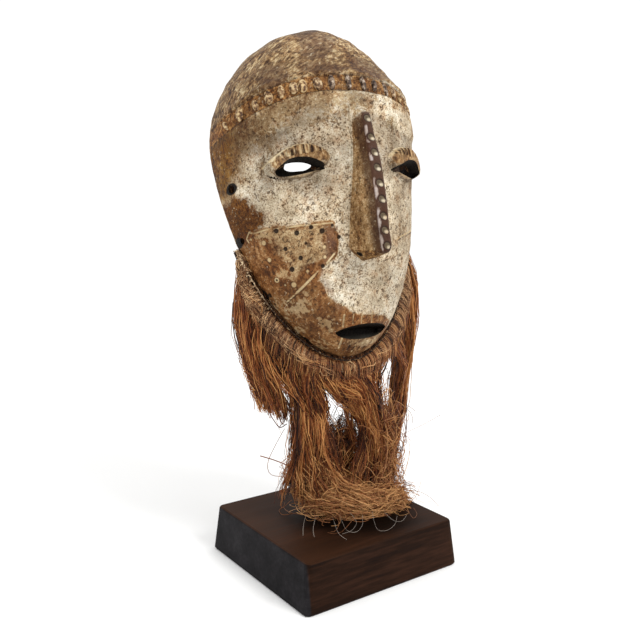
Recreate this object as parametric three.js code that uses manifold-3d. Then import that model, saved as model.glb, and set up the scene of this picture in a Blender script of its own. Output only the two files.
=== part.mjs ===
// Carved wooden face mask with a raffia beard, held by a steel rod on a hardwood block.
// Millimetres, +Z up, the face looks along -Y, the origin is the middle of the block's underside.
import * as THREE from 'three';
import { mergeVertices } from 'three/addons/utils/BufferGeometryUtils.js';
import Module from 'manifold-3d';

const wasm = await Module();
wasm.setup();

// Block under the mask
const BLOCK_WIDTH = 130;
const BLOCK_DEPTH = 125;
const BLOCK_HEIGHT = 33;
const BLOCK_TAPER = 3.25;
const BLOCK_CORNER = 4;
const BLOCK_EDGE = 1.2;

// Steel rod behind the beard
const ROD_RADIUS = 3;
const ROD_BACK = 27;
const ROD_RISE = 196;
const ROD_PLUG = 20;

// Mask, in its own frame: x across, y to the back, z along its length from the chin
const MASK_LENGTH = 232;
const MASK_HALF_WIDTH = 74.6;
const WIDEST_AT = 146;
const UPPER_POWER = 1.85;
const LOWER_POWER = 1.9;
const CHIN_BOW = -8;
const CROWN_BOW = -14;
const WALL = 7.5;
const CHIN_WALL = 22;
const CHIN_HEIGHT = 148;
const CHIN_BACK = -11;
const MASK_SHIFT = 1;
const LEAN = 20.5;
const TURN = -6;
const DEPTHS = [[0, 0], [7, 15], [23, 28], [52, 41.5], [89, 57], [129, 71.5], [163, 75.5], [190, 64],
  [211, 49], [225, 27], [232, 0]];
const POWERS = [[0, 2], [46, 2.05], [104, 2], [163, 2.3], [232, 1.7]];

// Carving on the face
const NOSE_TOP = 152;
const NOSE_RIDGE = 3.8;
const NOSE_RISE = [[55, 32], [67, 27.7], [86, 24], [106, 17.5], [128, 10.1], [143, 8], [152, 0.5]];
const NOSE_SPREAD = [[55, 11.5], [85, 10], [105, 8.5], [152, 6.8]];
const EYE_ACROSS = 40.3;
const EYE_UP = 119.5;
const EYE_HALF_LENGTH = 18;
const LID_HALF_HEIGHT = 9.6;
const LID_PROUD = 6.5;
const EYE_SLIT_HALF = 15;
const EYE_SLIT_UP = 115.4;
const MOUTH_MIDDLE = 4;
const MOUTH_HALF = 20.5;
const MOUTH_UP = 17;
const MOUTH_FLOOR = -15;
const BAND_UP = 167.5;
const BAND_DROP = 9;
const BAND_HALF = 5.6;
const BAND_DEEP = 1.3;
const RIB_PITCH = 8.4;
const RIB_FIRST = -78.8;
const RIB_COUNT = 19;
const RIB_PROUD = 0.8;
const TEMPLE_HOLE = [70.8, 117, 3];
const LACE_HOLES = [[65, 84, 2.2], [53, 48, 2.4], [31, 15.5, 1.8]];

// Beard
const CORD_RADIUS = 2;
const BEARD_TOP = 79;
const GAP = 0.4;

// A smooth curve through given pairs that never overshoots them
function curve(pairs) {
  const n = pairs.length;
  const slope = [];
  for (let i = 0; i < n - 1; i++) {
    slope.push((pairs[i + 1][1] - pairs[i][1]) / (pairs[i + 1][0] - pairs[i][0]));
  }
  const tangent = pairs.map((p, i) => {
    if (i === 0) return slope[0];
    if (i === n - 1) return slope[n - 2];
    if (slope[i - 1] * slope[i] <= 0) return 0;
    return (2 * slope[i - 1] * slope[i]) / (slope[i - 1] + slope[i]);
  });
  return (v) => {
    const c = Math.min(Math.max(v, pairs[0][0]), pairs[n - 1][0]);
    let i = 0;
    while (i < n - 2 && c > pairs[i + 1][0]) i++;
    const h = pairs[i + 1][0] - pairs[i][0];
    const t = (c - pairs[i][0]) / h;
    const a = pairs[i][1] * (1 + 2 * t) * (1 - t) * (1 - t);
    const b = pairs[i + 1][1] * t * t * (3 - 2 * t);
    return a + b + h * tangent[i] * t * (1 - t) * (1 - t) - h * tangent[i + 1] * t * t * (1 - t);
  };
}

const depthAt = curve(DEPTHS);
const powerAt = curve(POWERS);
const noseRise = curve(NOSE_RISE);
const noseSpread = curve(NOSE_SPREAD);

// Half the mask's width at a height
function halfWidth(z) {
  const upper = z > WIDEST_AT;
  const reach = upper ? MASK_LENGTH - WIDEST_AT : WIDEST_AT;
  const p = upper ? UPPER_POWER : LOWER_POWER;
  const s = Math.min(1, Math.abs(z - WIDEST_AT) / reach);
  return MASK_HALF_WIDTH * (1 - s ** p) ** (1 / p);
}

// How far the rim swings forward of a flat plane
function rimBow(z) {
  if (z > WIDEST_AT) return CROWN_BOW * ((z - WIDEST_AT) / (MASK_LENGTH - WIDEST_AT)) ** 2;
  return CHIN_BOW * ((z - WIDEST_AT) / WIDEST_AT) ** 2;
}

// Point of the face at an angle from its middle line, with the size scaled for the inner face
function skin(angle, z, wide = 1, deep = 1) {
  const p = powerAt(z);
  const s = Math.sin(angle);
  const x = halfWidth(z) * wide * Math.sign(s) * Math.abs(s) ** (2 / p);
  const y = -depthAt(z) * deep * Math.max(0, Math.cos(angle)) ** (2 / p) + rimBow(z);
  return new THREE.Vector3(x, y, z);
}

// Point of the face at a distance from the middle line, raised by a height along the outward normal
function onFace(x, z, out = 0) {
  const at = (a, b) => {
    const r = Math.min(1, Math.abs(a) / halfWidth(b)) ** (powerAt(b) / 2);
    return skin(Math.sign(a) * Math.asin(r), b);
  };
  const p = at(x, z);
  const r = Math.min(1, Math.abs(x) / halfWidth(z)) ** (powerAt(z) / 2);
  const angle = Math.sign(x) * Math.asin(r);
  const across = skin(angle + 0.01, z).sub(skin(angle - 0.01, z));
  const along = skin(angle, z + 0.5).sub(skin(angle, z - 0.5));
  const normal = across.cross(along).normalize();
  return p.addScaledVector(normal, out);
}

// Closed mesh from rings of equal length, each end closed by a fan
function loft(rings) {
  const n = rings[0].length;
  const points = rings.flat();
  const faces = [];
  for (let i = 0; i < rings.length - 1; i++) {
    for (let j = 0; j < n; j++) {
      const a = i * n + j;
      const b = i * n + ((j + 1) % n);
      faces.push([a, b, b + n], [a, b + n, a + n]);
    }
  }
  for (const [first, flip] of [[0, true], [(rings.length - 1) * n, false]]) {
    const middle = new THREE.Vector3();
    for (let j = 0; j < n; j++) middle.addScaledVector(points[first + j], 1 / n);
    points.push(middle);
    for (let j = 0; j < n; j++) {
      const a = first + j;
      const b = first + ((j + 1) % n);
      faces.push(flip ? [b, a, points.length - 1] : [a, b, points.length - 1]);
    }
  }
  const geometry = new THREE.BufferGeometry();
  geometry.setAttribute('position', new THREE.Float32BufferAttribute(points.flatMap((p) => p.toArray()), 3));
  geometry.setIndex(faces.flat());
  return geometry;
}

// Closed solid for adding and cutting, turned the right way out
function solid(geometry) {
  const bare = geometry.clone();
  bare.deleteAttribute('normal');
  bare.deleteAttribute('uv');
  const merged = mergeVertices(bare, 1e-4);
  const index = Array.from(merged.index.array);
  const kept = [];
  for (let i = 0; i < index.length; i += 3) {
    const [a, b, c] = index.slice(i, i + 3);
    if (a !== b && b !== c && a !== c) kept.push(a, b, c);
  }
  const build = (tri) => new wasm.Manifold(new wasm.Mesh({
    numProp: 3,
    vertProperties: Float32Array.from(merged.attributes.position.array),
    triVerts: Uint32Array.from(tri),
  }));
  const made = build(kept);
  if (made.volume() > 0) return made;
  const turned = [];
  for (let i = 0; i < kept.length; i += 3) turned.push(kept[i], kept[i + 2], kept[i + 1]);
  return build(turned);
}

function shapeOf(manifold) {
  const mesh = manifold.getMesh();
  const geometry = new THREE.BufferGeometry();
  geometry.setAttribute('position', new THREE.Float32BufferAttribute(mesh.vertProperties, 3));
  geometry.setIndex(Array.from(mesh.triVerts));
  geometry.computeVertexNormals();
  return geometry;
}

function joined(parts) {
  return parts.reduce((whole, part) => whole.add(part));
}

// Tube or strand of oval section along a path; each station is [point, half width, half depth, turn]
function strand(stations, sides) {
  const rings = stations.map(([point, wide, deep, turn], i) => {
    const before = stations[Math.max(0, i - 1)][0];
    const after = stations[Math.min(stations.length - 1, i + 1)][0];
    const ahead = after.clone().sub(before).normalize();
    const level = new THREE.Vector3(Math.cos(turn), Math.sin(turn), 0);
    const across = level.addScaledVector(ahead, -level.dot(ahead)).normalize();
    const through = new THREE.Vector3().crossVectors(ahead, across);
    const ring = [];
    for (let j = 0; j < sides; j++) {
      const a = (2 * Math.PI * j) / sides;
      ring.push(point.clone().addScaledVector(across, wide * Math.cos(a))
        .addScaledVector(through, deep * Math.sin(a)));
    }
    return ring;
  });
  return loft(rings);
}

// Outer body of the mask, flat at the back, grown on every side by a margin
function maskBody(rows, columns, grow = 0) {
  const rings = [];
  const wide = 1 + grow / MASK_HALF_WIDTH;
  for (let i = 0; i <= rows; i++) {
    const z = (MASK_LENGTH * (1 - Math.cos((Math.PI * i) / rows))) / 2;
    const ring = [];
    for (let j = 0; j <= columns; j++) {
      const p = skin(-Math.PI / 2 + (Math.PI * j) / columns, z, wide, wide);
      p.z += grow * (z / MASK_LENGTH - 0.5) * 2;
      ring.push(p);
    }
    if (grow > 0) {
      const side = ring[columns].x;
      const back = ring[columns].y + grow;
      ring.push(new THREE.Vector3(side, back, ring[0].z), new THREE.Vector3(-side, back, ring[0].z));
    }
    rings.push(ring);
  }
  return loft(rings);
}

// Hollow behind the face, running out through the open back
function maskHollow(rows, columns) {
  const rings = [];
  for (let i = 0; i <= rows; i++) {
    const share = 0.006 + 0.988 * (1 - Math.cos((Math.PI * i) / rows)) / 2;
    const wide = (MASK_HALF_WIDTH - WALL) / MASK_HALF_WIDTH;
    const ring = [];
    const z = CHIN_WALL + (MASK_LENGTH - WALL - CHIN_WALL) * share;
    for (let j = 0; j <= columns; j++) {
      const p = skin(-Math.PI / 2 + (Math.PI * j) / columns, MASK_LENGTH * share, wide, 0.9);
      ring.push(new THREE.Vector3(p.x, p.y, z));
    }
    const side = ring[columns].x;
    ring.push(new THREE.Vector3(side, 30, z), new THREE.Vector3(-side, 30, z));
    rings.push(ring);
  }
  return loft(rings);
}

// Long wedge of the nose with a flat ridge, cut off square underneath
function nose() {
  const rings = [];
  const levels = [[61, 55], [66, 61], [76, 74], [90, 89], [106, 106], [122, 122], [136, 136], [146, 146],
    [NOSE_TOP, NOSE_TOP]];
  for (const [base, ridge] of levels) {
    const half = noseSpread(ridge);
    const shoulder = Math.min(NOSE_RIDGE, half * 0.7);
    const foot = onFace(half, base);
    const top = onFace(0, ridge);
    const rise = noseRise(ridge);
    const y = top.y - rise;
    rings.push([
      new THREE.Vector3(-half, foot.y + 3, base),
      new THREE.Vector3(-half, foot.y - 0.4, base),
      new THREE.Vector3(-shoulder, y + 0.8, ridge),
      new THREE.Vector3(0, y, ridge),
      new THREE.Vector3(shoulder, y + 0.8, ridge),
      new THREE.Vector3(half, foot.y - 0.4, base),
      new THREE.Vector3(half, foot.y + 3, base),
    ]);
  }
  return loft(rings);
}

// Almond outline, fuller above than below
function almond(middle, half, up, above, below, count) {
  const points = [];
  for (let j = 0; j < count; j++) {
    const a = (2 * Math.PI * j) / count;
    const rise = Math.sin(a) > 0 ? above : below;
    const x = middle + half * Math.cos(a);
    points.push([x, up + rise * Math.sign(Math.sin(a)) * Math.abs(Math.sin(a)) ** 1.35]);
  }
  return points;
}

// Swollen eyelids, a low dome on an almond
function lids(side) {
  const rings = [[1, -3], [1, 0.2], [0.93, 0.62], [0.74, 1]].map(([scale, proud]) => {
    const out = proud < 0 ? proud : proud * LID_PROUD;
    return almond(0, EYE_HALF_LENGTH * scale, 0, LID_HALF_HEIGHT * scale, LID_HALF_HEIGHT * scale, 14)
      .map(([x, z]) => onFace(side * EYE_ACROSS + x, EYE_UP + z, out));
  });
  return loft(rings);
}

// Straight cutter along the depth of the mask with a given outline
function through(outline, from, to) {
  return loft([from, to].map((y) => outline.map(([x, z]) => new THREE.Vector3(x, y, z))));
}

function eyeSlit(side) {
  return through(almond(side * EYE_ACROSS, EYE_SLIT_HALF, EYE_SLIT_UP, 5.2, 3.6, 12), -100, -5);
}

function mouthSlit() {
  return through(almond(MOUTH_MIDDLE, MOUTH_HALF, MOUTH_UP, 1.2, 7.6, 14), -60, MOUTH_FLOOR);
}

// Round hole through the wall, square to the face
function boredHole(x, z, radius) {
  const length = 2 * WALL + 6;
  const cutter = new THREE.CylinderGeometry(radius, radius, length, 8);
  const outward = onFace(x, z, 1).sub(onFace(x, z, 0)).normalize();
  cutter.applyQuaternion(new THREE.Quaternion().setFromUnitVectors(new THREE.Vector3(0, 1, 0), outward));
  const at = onFace(x, z, -length / 2 + 5);
  cutter.translate(at.x, at.y, at.z);
  return cutter;
}

function bandHeight(x) {
  return BAND_UP - BAND_DROP * Math.abs(x / 70) ** 2.4;
}

// Distance from the middle line of a point on the band at an angle round the face
function bandAcross(degrees) {
  return 72.3 * Math.sin(THREE.MathUtils.degToRad(degrees));
}

// Shallow channel over the forehead
function band() {
  const rings = [];
  const count = 20;
  for (let i = 0; i <= count; i++) {
    const x = bandAcross(-76 + (152 * i) / count);
    const z = bandHeight(x);
    rings.push([
      onFace(x, z - BAND_HALF, -BAND_DEEP),
      onFace(x, z - BAND_HALF, 3),
      onFace(x, z + BAND_HALF, 3),
      onFace(x, z + BAND_HALF, -BAND_DEEP),
    ]);
  }
  return loft(rings);
}

// Rounded cross ribs left standing in the channel
function rib(degrees) {
  const x = bandAcross(degrees);
  const z = bandHeight(x);
  const tall = BAND_HALF + 0.4;
  const aside = Math.max(0.5, Math.cos(THREE.MathUtils.degToRad(degrees)));
  const rings = [[-1, -0.6, 0.5], [0, RIB_PROUD, 1], [1, -0.6, 0.5]].map(([s, out, share]) => {
    const at = z + s * tall;
    return [onFace(x - 2 * aside * share, at, -3), onFace(x - 1.2 * aside * share, at, out),
      onFace(x + 1.2 * aside * share, at, out), onFace(x + 2 * aside * share, at, -3)];
  });
  return loft(rings);
}

function maskSolid() {
  let body = solid(maskBody(28, 32));
  body = body.subtract(solid(band()));
  const raised = [nose(), lids(-1), lids(1)];
  for (let i = 0; i < RIB_COUNT; i++) raised.push(rib(RIB_FIRST + i * RIB_PITCH));
  for (const part of raised) body = body.add(solid(part));
  const cuts = [maskHollow(14, 18), mouthSlit()];
  for (const side of [-1, 1]) {
    cuts.push(eyeSlit(side));
    cuts.push(boredHole(side * TEMPLE_HOLE[0], TEMPLE_HOLE[1], TEMPLE_HOLE[2]));
    for (const [x, z, radius] of LACE_HOLES) cuts.push(boredHole(side * x, z, radius));
  }
  for (const cut of cuts) body = body.subtract(solid(cut));
  return body;
}

// Mask frame placed on the stand
const lean = THREE.MathUtils.degToRad(-LEAN);
const turn = THREE.MathUtils.degToRad(TURN);
const poise = new THREE.Euler(lean, 0, turn, 'ZYX');
const seat = new THREE.Vector3(MASK_SHIFT, CHIN_BACK, CHIN_HEIGHT);

function placed(point) {
  return point.clone().applyEuler(poise).add(seat);
}

// Stations down one side of the rim, round the chin and up the other
function rimStations(count, top) {
  const stations = [];
  for (let i = 0; i <= count; i++) {
    const s = (2 * i) / count - 1;
    const a = (Math.abs(s) * Math.PI) / 2;
    const z = top * (1 - Math.cos(a)) ** 0.9;
    const side = Math.sign(s) || 1;
    const x = s === 0 ? 0 : side * halfWidth(z);
    const dz = 0.5;
    const low = Math.max(z - dz, 0);
    const run = new THREE.Vector3(halfWidth(z + dz) - halfWidth(low), 0, z + dz - low).normalize();
    const out = z < 0.01 ? new THREE.Vector3(0, 0, -1) : new THREE.Vector3(side * run.z, 0, -run.x);
    stations.push({ at: new THREE.Vector3(x, rimBow(z), z), out, share: s });
  }
  return stations;
}

// Cord heading that carries the fibres, laced along the lower rim
function heading(grow = 0) {
  const middles = rimStations(28, BEARD_TOP + 2 * grow).map(({ at, out }) => {
    const middle = at.clone().addScaledVector(out, CORD_RADIUS + GAP);
    middle.y += 1;
    return placed(middle);
  });
  const path = new THREE.CatmullRomCurve3(middles, false, 'centripetal');
  return bar(path, CORD_RADIUS + grow, 28, 6);
}

// Collar of combed fibres under the cord
function collar() {
  const start = 2 * CORD_RADIUS + 2 * GAP;
  const back = new THREE.Vector3(0, 1, 0).applyEuler(poise);
  const rings = rimStations(22, BEARD_TOP - 2).map(({ at, out, share }) => {
    const top = placed(at.clone().addScaledVector(out, start));
    const aside = out.clone().applyEuler(poise);
    const drop = 24 + 26 * Math.abs(share) ** 1.5;
    const swell = top.clone().addScaledVector(aside, 3.5);
    swell.z -= 8;
    const hem = top.clone().addScaledVector(aside, 2);
    hem.z -= drop;
    return [
      top.clone().addScaledVector(back, -1.5),
      top.clone().addScaledVector(back, 3.5),
      swell.clone().addScaledVector(back, 7),
      hem.clone().addScaledVector(back, 6),
      hem.clone().addScaledVector(back, -4),
      swell.clone().addScaledVector(back, -5),
    ];
  });
  return loft(rings);
}

// Hanging hanks: path points, half width, half depth, plan angle of the width in degrees
const HANKS = [
  { path: [[-57, 22, 205], [-58, 21, 185], [-55, 19, 159], [-50, 15, 131], [-45, 12, 113], [-41, 10, 102]],
    wide: [9, 13, 14, 14, 11, 4], deep: [5, 6, 7, 7, 6, 2.5], turn: -46 },
  { path: [[-45, 4, 172], [-40, 3, 160], [-36, 3, 143], [-28, 1, 120], [-23, 0, 90], [-22, 0, 65], [-24, -1, 36]],
    wide: [12, 13, 14, 14, 13, 14, 17], deep: [6, 8, 8, 8, 8, 9, 12], turn: -40 },
  { path: [[-22, -12, 140], [-14, -14, 134], [3, -13, 124], [20, -10, 114], [32, -4, 98], [38, 0, 80]],
    wide: [10, 8, 7, 7, 7, 8], deep: [6, 6, 5, 5, 6, 6], turn: 0 },
  { path: [[12, -14, 139], [22, -11, 130], [31, -7, 121], [36, -3, 106]],
    wide: [10, 9, 7, 6], deep: [6, 6, 6, 5], turn: 10 },
  { path: [[44, -8, 152], [46, -5, 144], [40, -2, 124], [36, 1, 103], [35, 4, 76], [33, 5, 50], [30, 4, 36]],
    wide: [10, 8, 7, 9, 12, 14, 15], deep: [6, 6, 6, 7, 8, 9, 10], turn: 15 },
  { path: [[76, 12, 196], [79, 13, 180], [78, 13, 149], [75, 11, 118], [69, 9, 90], [60, 7, 62], [52, 5, 36]],
    wide: [6, 7, 6.5, 7, 9, 12, 15], deep: [8, 9, 8, 8, 9, 10, 11], turn: 20 },
  { path: [[14, 12, 101], [13, 12, 76], [11, 8, 36]], wide: [9, 17, 26], deep: [4, 7, 12], turn: 5 },
];

function hank({ path, wide, deep, turn: degrees }) {
  const line = new THREE.CatmullRomCurve3(path.map((p) => new THREE.Vector3(...p)), false, 'centripetal');
  const across = curve(wide.map((w, i) => [i / (wide.length - 1), w]));
  const depth = curve(deep.map((d, i) => [i / (deep.length - 1), d]));
  const count = Math.round(1.4 * path.length);
  const stations = [];
  for (let i = 0; i <= count; i++) {
    const t = i / count;
    stations.push([line.getPoint(t), across(t), depth(t), THREE.MathUtils.degToRad(degrees)]);
  }
  return strand(stations, 9);
}

// Fibres spread over the block's top, low and wide
function spread() {
  const rings = [];
  const levels = [[0.3, 0.86], [3, 1], [8, 0.93], [14, 0.7], [18, 0.5]];
  const sides = 22;
  for (const [up, scale] of levels) {
    const ring = [];
    for (let j = 0; j < sides; j++) {
      const a = (2 * Math.PI * j) / sides;
      const ragged = 1 + 0.08 * Math.sin(3 * a + 1) + 0.06 * Math.sin(5 * a) + 0.04 * Math.sin(8 * a + 2);
      const x = 13 + 51 * scale * ragged * Math.cos(a);
      const y = -3 + 22 * scale * ragged * Math.sin(a) + 0.1 * x;
      ring.push(new THREE.Vector3(x, y, BLOCK_HEIGHT + up));
    }
    rings.push(ring);
  }
  return loft(rings);
}

function beardSolid() {
  return joined([collar(), ...HANKS.map(hank), spread()].map(solid));
}

// Round bar along a path
function bar(path, radius, steps, sides) {
  const round = new THREE.Shape();
  for (let j = 0; j < sides; j++) {
    const a = (2 * Math.PI * j) / sides;
    if (j === 0) round.moveTo(radius, 0);
    else round.lineTo(radius * Math.cos(a), radius * Math.sin(a));
  }
  return new THREE.ExtrudeGeometry(round, { steps, extrudePath: path });
}

// Rod from the block up behind the beard, bent forward to the inner face
function rod(radius) {
  const foot = new THREE.Vector3(0, ROD_BACK, BLOCK_HEIGHT - ROD_PLUG);
  const rise = new THREE.Vector3(0, ROD_BACK, ROD_RISE);
  const bend = new THREE.Vector3(0, ROD_BACK - 2, ROD_RISE + 12);
  const tip = new THREE.Vector3(-0.5, -21.5, ROD_RISE + 40);
  const turned = bend.clone().lerp(tip, 0.3);
  const path = new THREE.CurvePath();
  path.add(new THREE.LineCurve3(foot, rise));
  path.add(new THREE.QuadraticBezierCurve3(rise, bend, turned));
  path.add(new THREE.LineCurve3(turned, tip));
  return bar(path, radius, 26, 10);
}

// Block with rounded upright corners, eased edges and slightly leaning sides
function blockSolid() {
  const rings = [];
  const levels = [[0, -BLOCK_EDGE * 0.7], [BLOCK_EDGE, 0], [BLOCK_HEIGHT - BLOCK_EDGE, 0],
    [BLOCK_HEIGHT - BLOCK_EDGE * 0.3, -BLOCK_EDGE * 0.3], [BLOCK_HEIGHT, -BLOCK_EDGE]];
  for (const [z, ease] of levels) {
    const inset = (BLOCK_TAPER * z) / BLOCK_HEIGHT - ease;
    const ring = [];
    for (const [sx, sy, from] of [[1, 1, 0], [-1, 1, 90], [-1, -1, 180], [1, -1, 270]]) {
      for (let k = 0; k <= 4; k++) {
        const a = THREE.MathUtils.degToRad(from + k * 22.5);
        const x = sx * (BLOCK_WIDTH / 2 - inset - BLOCK_CORNER) + BLOCK_CORNER * Math.cos(a);
        const y = sy * (BLOCK_DEPTH / 2 - inset - BLOCK_CORNER) + BLOCK_CORNER * Math.sin(a);
        ring.push(new THREE.Vector3(x, y, z));
      }
    }
    rings.push(ring);
  }
  const deep = ROD_PLUG + GAP + 5;
  const socket = new THREE.CylinderGeometry(ROD_RADIUS + GAP, ROD_RADIUS + GAP, deep, 10);
  socket.rotateX(Math.PI / 2);
  socket.translate(0, ROD_BACK, BLOCK_HEIGHT + 5 - deep / 2);
  return solid(loft(rings)).subtract(solid(socket));
}

function piece(name, geometry, colour, roughness, metalness) {
  const material = new THREE.MeshStandardMaterial({ color: colour, roughness, metalness });
  material.name = name;
  const mesh = new THREE.Mesh(geometry, material);
  mesh.name = name;
  return mesh;
}

const object = new THREE.Group();
object.name = 'mask_on_stand';

const mask = piece('mask', shapeOf(maskSolid()), 0xa58f74, 0.75, 0);
mask.rotation.copy(poise);
mask.position.copy(seat);

const clearance = solid(rod(ROD_RADIUS + GAP));
const guard = maskBody(16, 16, 2.5 * GAP);
guard.applyMatrix4(new THREE.Matrix4().makeRotationFromEuler(poise).setPosition(seat));
const floor = new THREE.BoxGeometry(2 * BLOCK_WIDTH, 2 * BLOCK_DEPTH, BLOCK_HEIGHT);
floor.translate(0, 0, BLOCK_HEIGHT / 2 + GAP);
const rooms = [clearance, solid(guard), solid(heading(1.5 * GAP)), solid(floor)];
const beard = rooms.reduce((fibres, room) => fibres.subtract(room), beardSolid());
object.add(
  mask,
  piece('beard_cord', shapeOf(solid(heading())), 0xa38157, 0.9, 0),
  piece('beard', shapeOf(beard), 0x7a4a24, 0.9, 0),
  piece('rod', shapeOf(solid(rod(ROD_RADIUS))), 0x1a1a1c, 0.45, 1),
  piece('block', shapeOf(blockSolid()), 0x1d1512, 0.4, 0),
);

export default object;
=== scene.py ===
# Looks for the carved face mask with its raffia beard, steel rod and hardwood block.
# Lengths are millimetres in the making and metres in the scene; +Z is up and the face looks along -Y.
import math

import bpy
import numpy as np
from mathutils import Euler, Matrix, Vector


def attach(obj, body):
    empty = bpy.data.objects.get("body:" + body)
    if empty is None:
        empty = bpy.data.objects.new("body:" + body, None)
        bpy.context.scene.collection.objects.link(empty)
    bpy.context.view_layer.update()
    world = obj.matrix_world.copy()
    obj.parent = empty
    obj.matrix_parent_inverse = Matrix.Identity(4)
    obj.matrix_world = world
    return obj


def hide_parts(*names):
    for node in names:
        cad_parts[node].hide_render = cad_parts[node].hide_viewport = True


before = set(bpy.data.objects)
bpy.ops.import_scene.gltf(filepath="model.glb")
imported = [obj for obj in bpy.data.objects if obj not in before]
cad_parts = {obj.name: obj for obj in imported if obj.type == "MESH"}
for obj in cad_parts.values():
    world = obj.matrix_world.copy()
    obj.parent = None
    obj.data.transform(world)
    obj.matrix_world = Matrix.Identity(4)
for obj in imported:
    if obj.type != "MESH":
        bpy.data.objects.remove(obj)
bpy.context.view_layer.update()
MM = 0.001
# Fine patterns are given by how many of their grains lie in 100 mm
DECIMETRE = 0.1

# Sizes shared with the solids
BLOCK_TOP = 33.0
MASK_LENGTH, MASK_HALF_WIDTH, WIDEST_AT = 232.0, 74.6, 146.0
UPPER_POWER, LOWER_POWER = 1.85, 1.9
CHIN_BOW, CROWN_BOW = -8.0, -14.0
WALL, CHIN_WALL = 7.5, 22.0
SEAT = np.array([1.0, -11.0, 148.0])
LEAN, TURN = math.radians(-20.5), math.radians(-6.0)
DEPTHS = [(0, 0), (7, 15), (23, 28), (52, 41.5), (89, 57), (129, 71.5), (163, 75.5), (190, 64),
          (211, 49), (225, 27), (232, 0)]
POWERS = [(0, 2), (46, 2.05), (104, 2), (163, 2.3), (232, 1.7)]
NOSE_TIP, NOSE_ROOT, NOSE_TOP = 54.0, 57.0, 152.0
NOSE_RIDGE = 4.5
NOSTRIL = (5.6, -53.4, 59.3)
NOSE_RISE = [(54, 32.3), (67, 28), (86, 24.4), (106, 18.5), (128, 11.3), (143, 8.6), (152, 0.5)]
NOSE_SPREAD = [(54, 11.2), (85, 10), (105, 8.5), (152, 6.8)]
NOSE_BASE = [(54, 65.5), (61, 69.5), (74, 79), (89, 91.5), (106, 106), (152, 152)]
RIDGE_PITS = [139.6, 126.8, 116.4, 106.4, 96.4, 86.2, 75.8, 67.1, 57.2]
EYE_ACROSS, EYE_UP = 40.3, 119.5
EYE_HALF_LENGTH, LID_HALF_HEIGHT, LID_PROUD = 18.0, 10.2, 6.5
BAND_UP, BAND_DROP, BAND_HALF, BAND_DEEP = 167.5, 9.0, 5.6, 1.3
# Holes along the rim on each side: across, up and radius
RIM_HOLES = [(70.8, 117, 3.0), (65.6, 83.6, 2.2), (54.0, 46.8, 2.5), (31.0, 14.0, 2.1)]
# Height up the rim, on each side, where the heading of the beard ends
BEARD_TOP = 80.0
# The photograph's view: pixels, then metres and degrees
FOCAL_PIXELS, PHOTO_PIXELS, SENSOR = 780, 640, 36
VIEW_FROM, VIEW_DOWN, VIEW_TURN = (-0.317, -0.434, 0.257), 8.8, -35.2


def linear(code):
    """sRGB hex as linear red, green, blue and a full alpha"""
    parts = [int(code[i:i + 2], 16) / 255 for i in (1, 3, 5)]
    return [p / 12.92 if p <= 0.04045 else ((p + 0.055) / 1.055) ** 2.4 for p in parts] + [1.0]


def feed(tree, node, feeds):
    """Links nodes and sockets to a node's inputs, and sets its other inputs to values or colours"""
    for socket, value in feeds.items():
        if isinstance(value, bpy.types.Node):
            value = value.outputs[2 if getattr(value, "data_type", "") == "RGBA" else 0]
        if isinstance(value, bpy.types.NodeSocket):
            tree.links.new(value, node.inputs[socket])
        else:
            tint = isinstance(value, str) and value.startswith("#")
            node.inputs[socket].default_value = linear(value) if tint else value


def add(tree, kind, feeds=None, stops=(), **settings):
    """One node with its settings, what feeds its inputs and the stops of its ramp"""
    made = tree.nodes.new(kind)
    for key, value in settings.items():
        setattr(made, key, value)
    feed(tree, made, feeds or {})
    if stops:
        ramp = made.color_ramp
        while len(ramp.elements) < len(stops):
            ramp.elements.new(0.5)
        for element, (at, tint) in zip(ramp.elements, stops):
            element.position, element.color = at, linear(tint)
    return made


def material(name):
    """Empty material with its surface node"""
    made = bpy.data.materials.new(name)
    made.use_nodes = True
    tree = made.node_tree
    return made, tree, tree.nodes["Principled BSDF"]


def object_of(name, data):
    made = bpy.data.objects.new(name, data)
    bpy.context.scene.collection.objects.link(made)
    return made


def mesh_of(name, points, faces):
    data = bpy.data.meshes.new(name)
    data.from_pydata([tuple(p) for p in np.asarray(points, float)], [],
                     [tuple(int(i) for i in f) for f in faces])
    data.update()
    return object_of(name, data)


def coordinates(data):
    flat = np.empty(len(data.vertices) * 3, np.float32)
    data.vertices.foreach_get("co", flat)
    return flat.reshape(-1, 3).astype(float)


def note(data, name, values):
    """Stores one number, or one vector, on each vertex"""
    values = np.asarray(values, np.float32)
    if values.ndim == 1:
        data.attributes.new(name, "FLOAT", "POINT").data.foreach_set("value", values)
    else:
        data.attributes.new(name, "FLOAT_VECTOR", "POINT").data.foreach_set("vector", values.ravel())


def finished(obj):
    """Plain mesh of an object with its modifiers worked in"""
    graph = bpy.context.evaluated_depsgraph_get()
    data = bpy.data.meshes.new_from_object(obj.evaluated_get(graph))
    obj.modifiers.clear()
    obj.data = data
    return obj


def grown(obj, label, finish, sizes, build):
    """Plain mesh grown from an object by a graph; build adds its nodes and returns the last socket"""
    group = bpy.data.node_groups.new(label, "GeometryNodeTree")
    group.interface.new_socket("Geometry", in_out="OUTPUT", socket_type="NodeSocketGeometry")
    group.interface.new_socket("Geometry", in_out="INPUT", socket_type="NodeSocketGeometry")
    inputs = {name: group.interface.new_socket(name, in_out="INPUT", socket_type="NodeSocketInt").identifier
              for name in sizes}
    start, end = group.nodes.new("NodeGroupInput"), group.nodes.new("NodeGroupOutput")
    real = add(group, "GeometryNodeRealizeInstances", {"Geometry": build(group, start)})
    feed(group, end, {0: add(group, "GeometryNodeSetMaterial", {"Geometry": real, "Material": finish})})
    change = obj.modifiers.new(label, "NODES")
    change.node_group = group
    for name, size in sizes.items():
        change[inputs[name]] = size
    return finished(obj)


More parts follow.
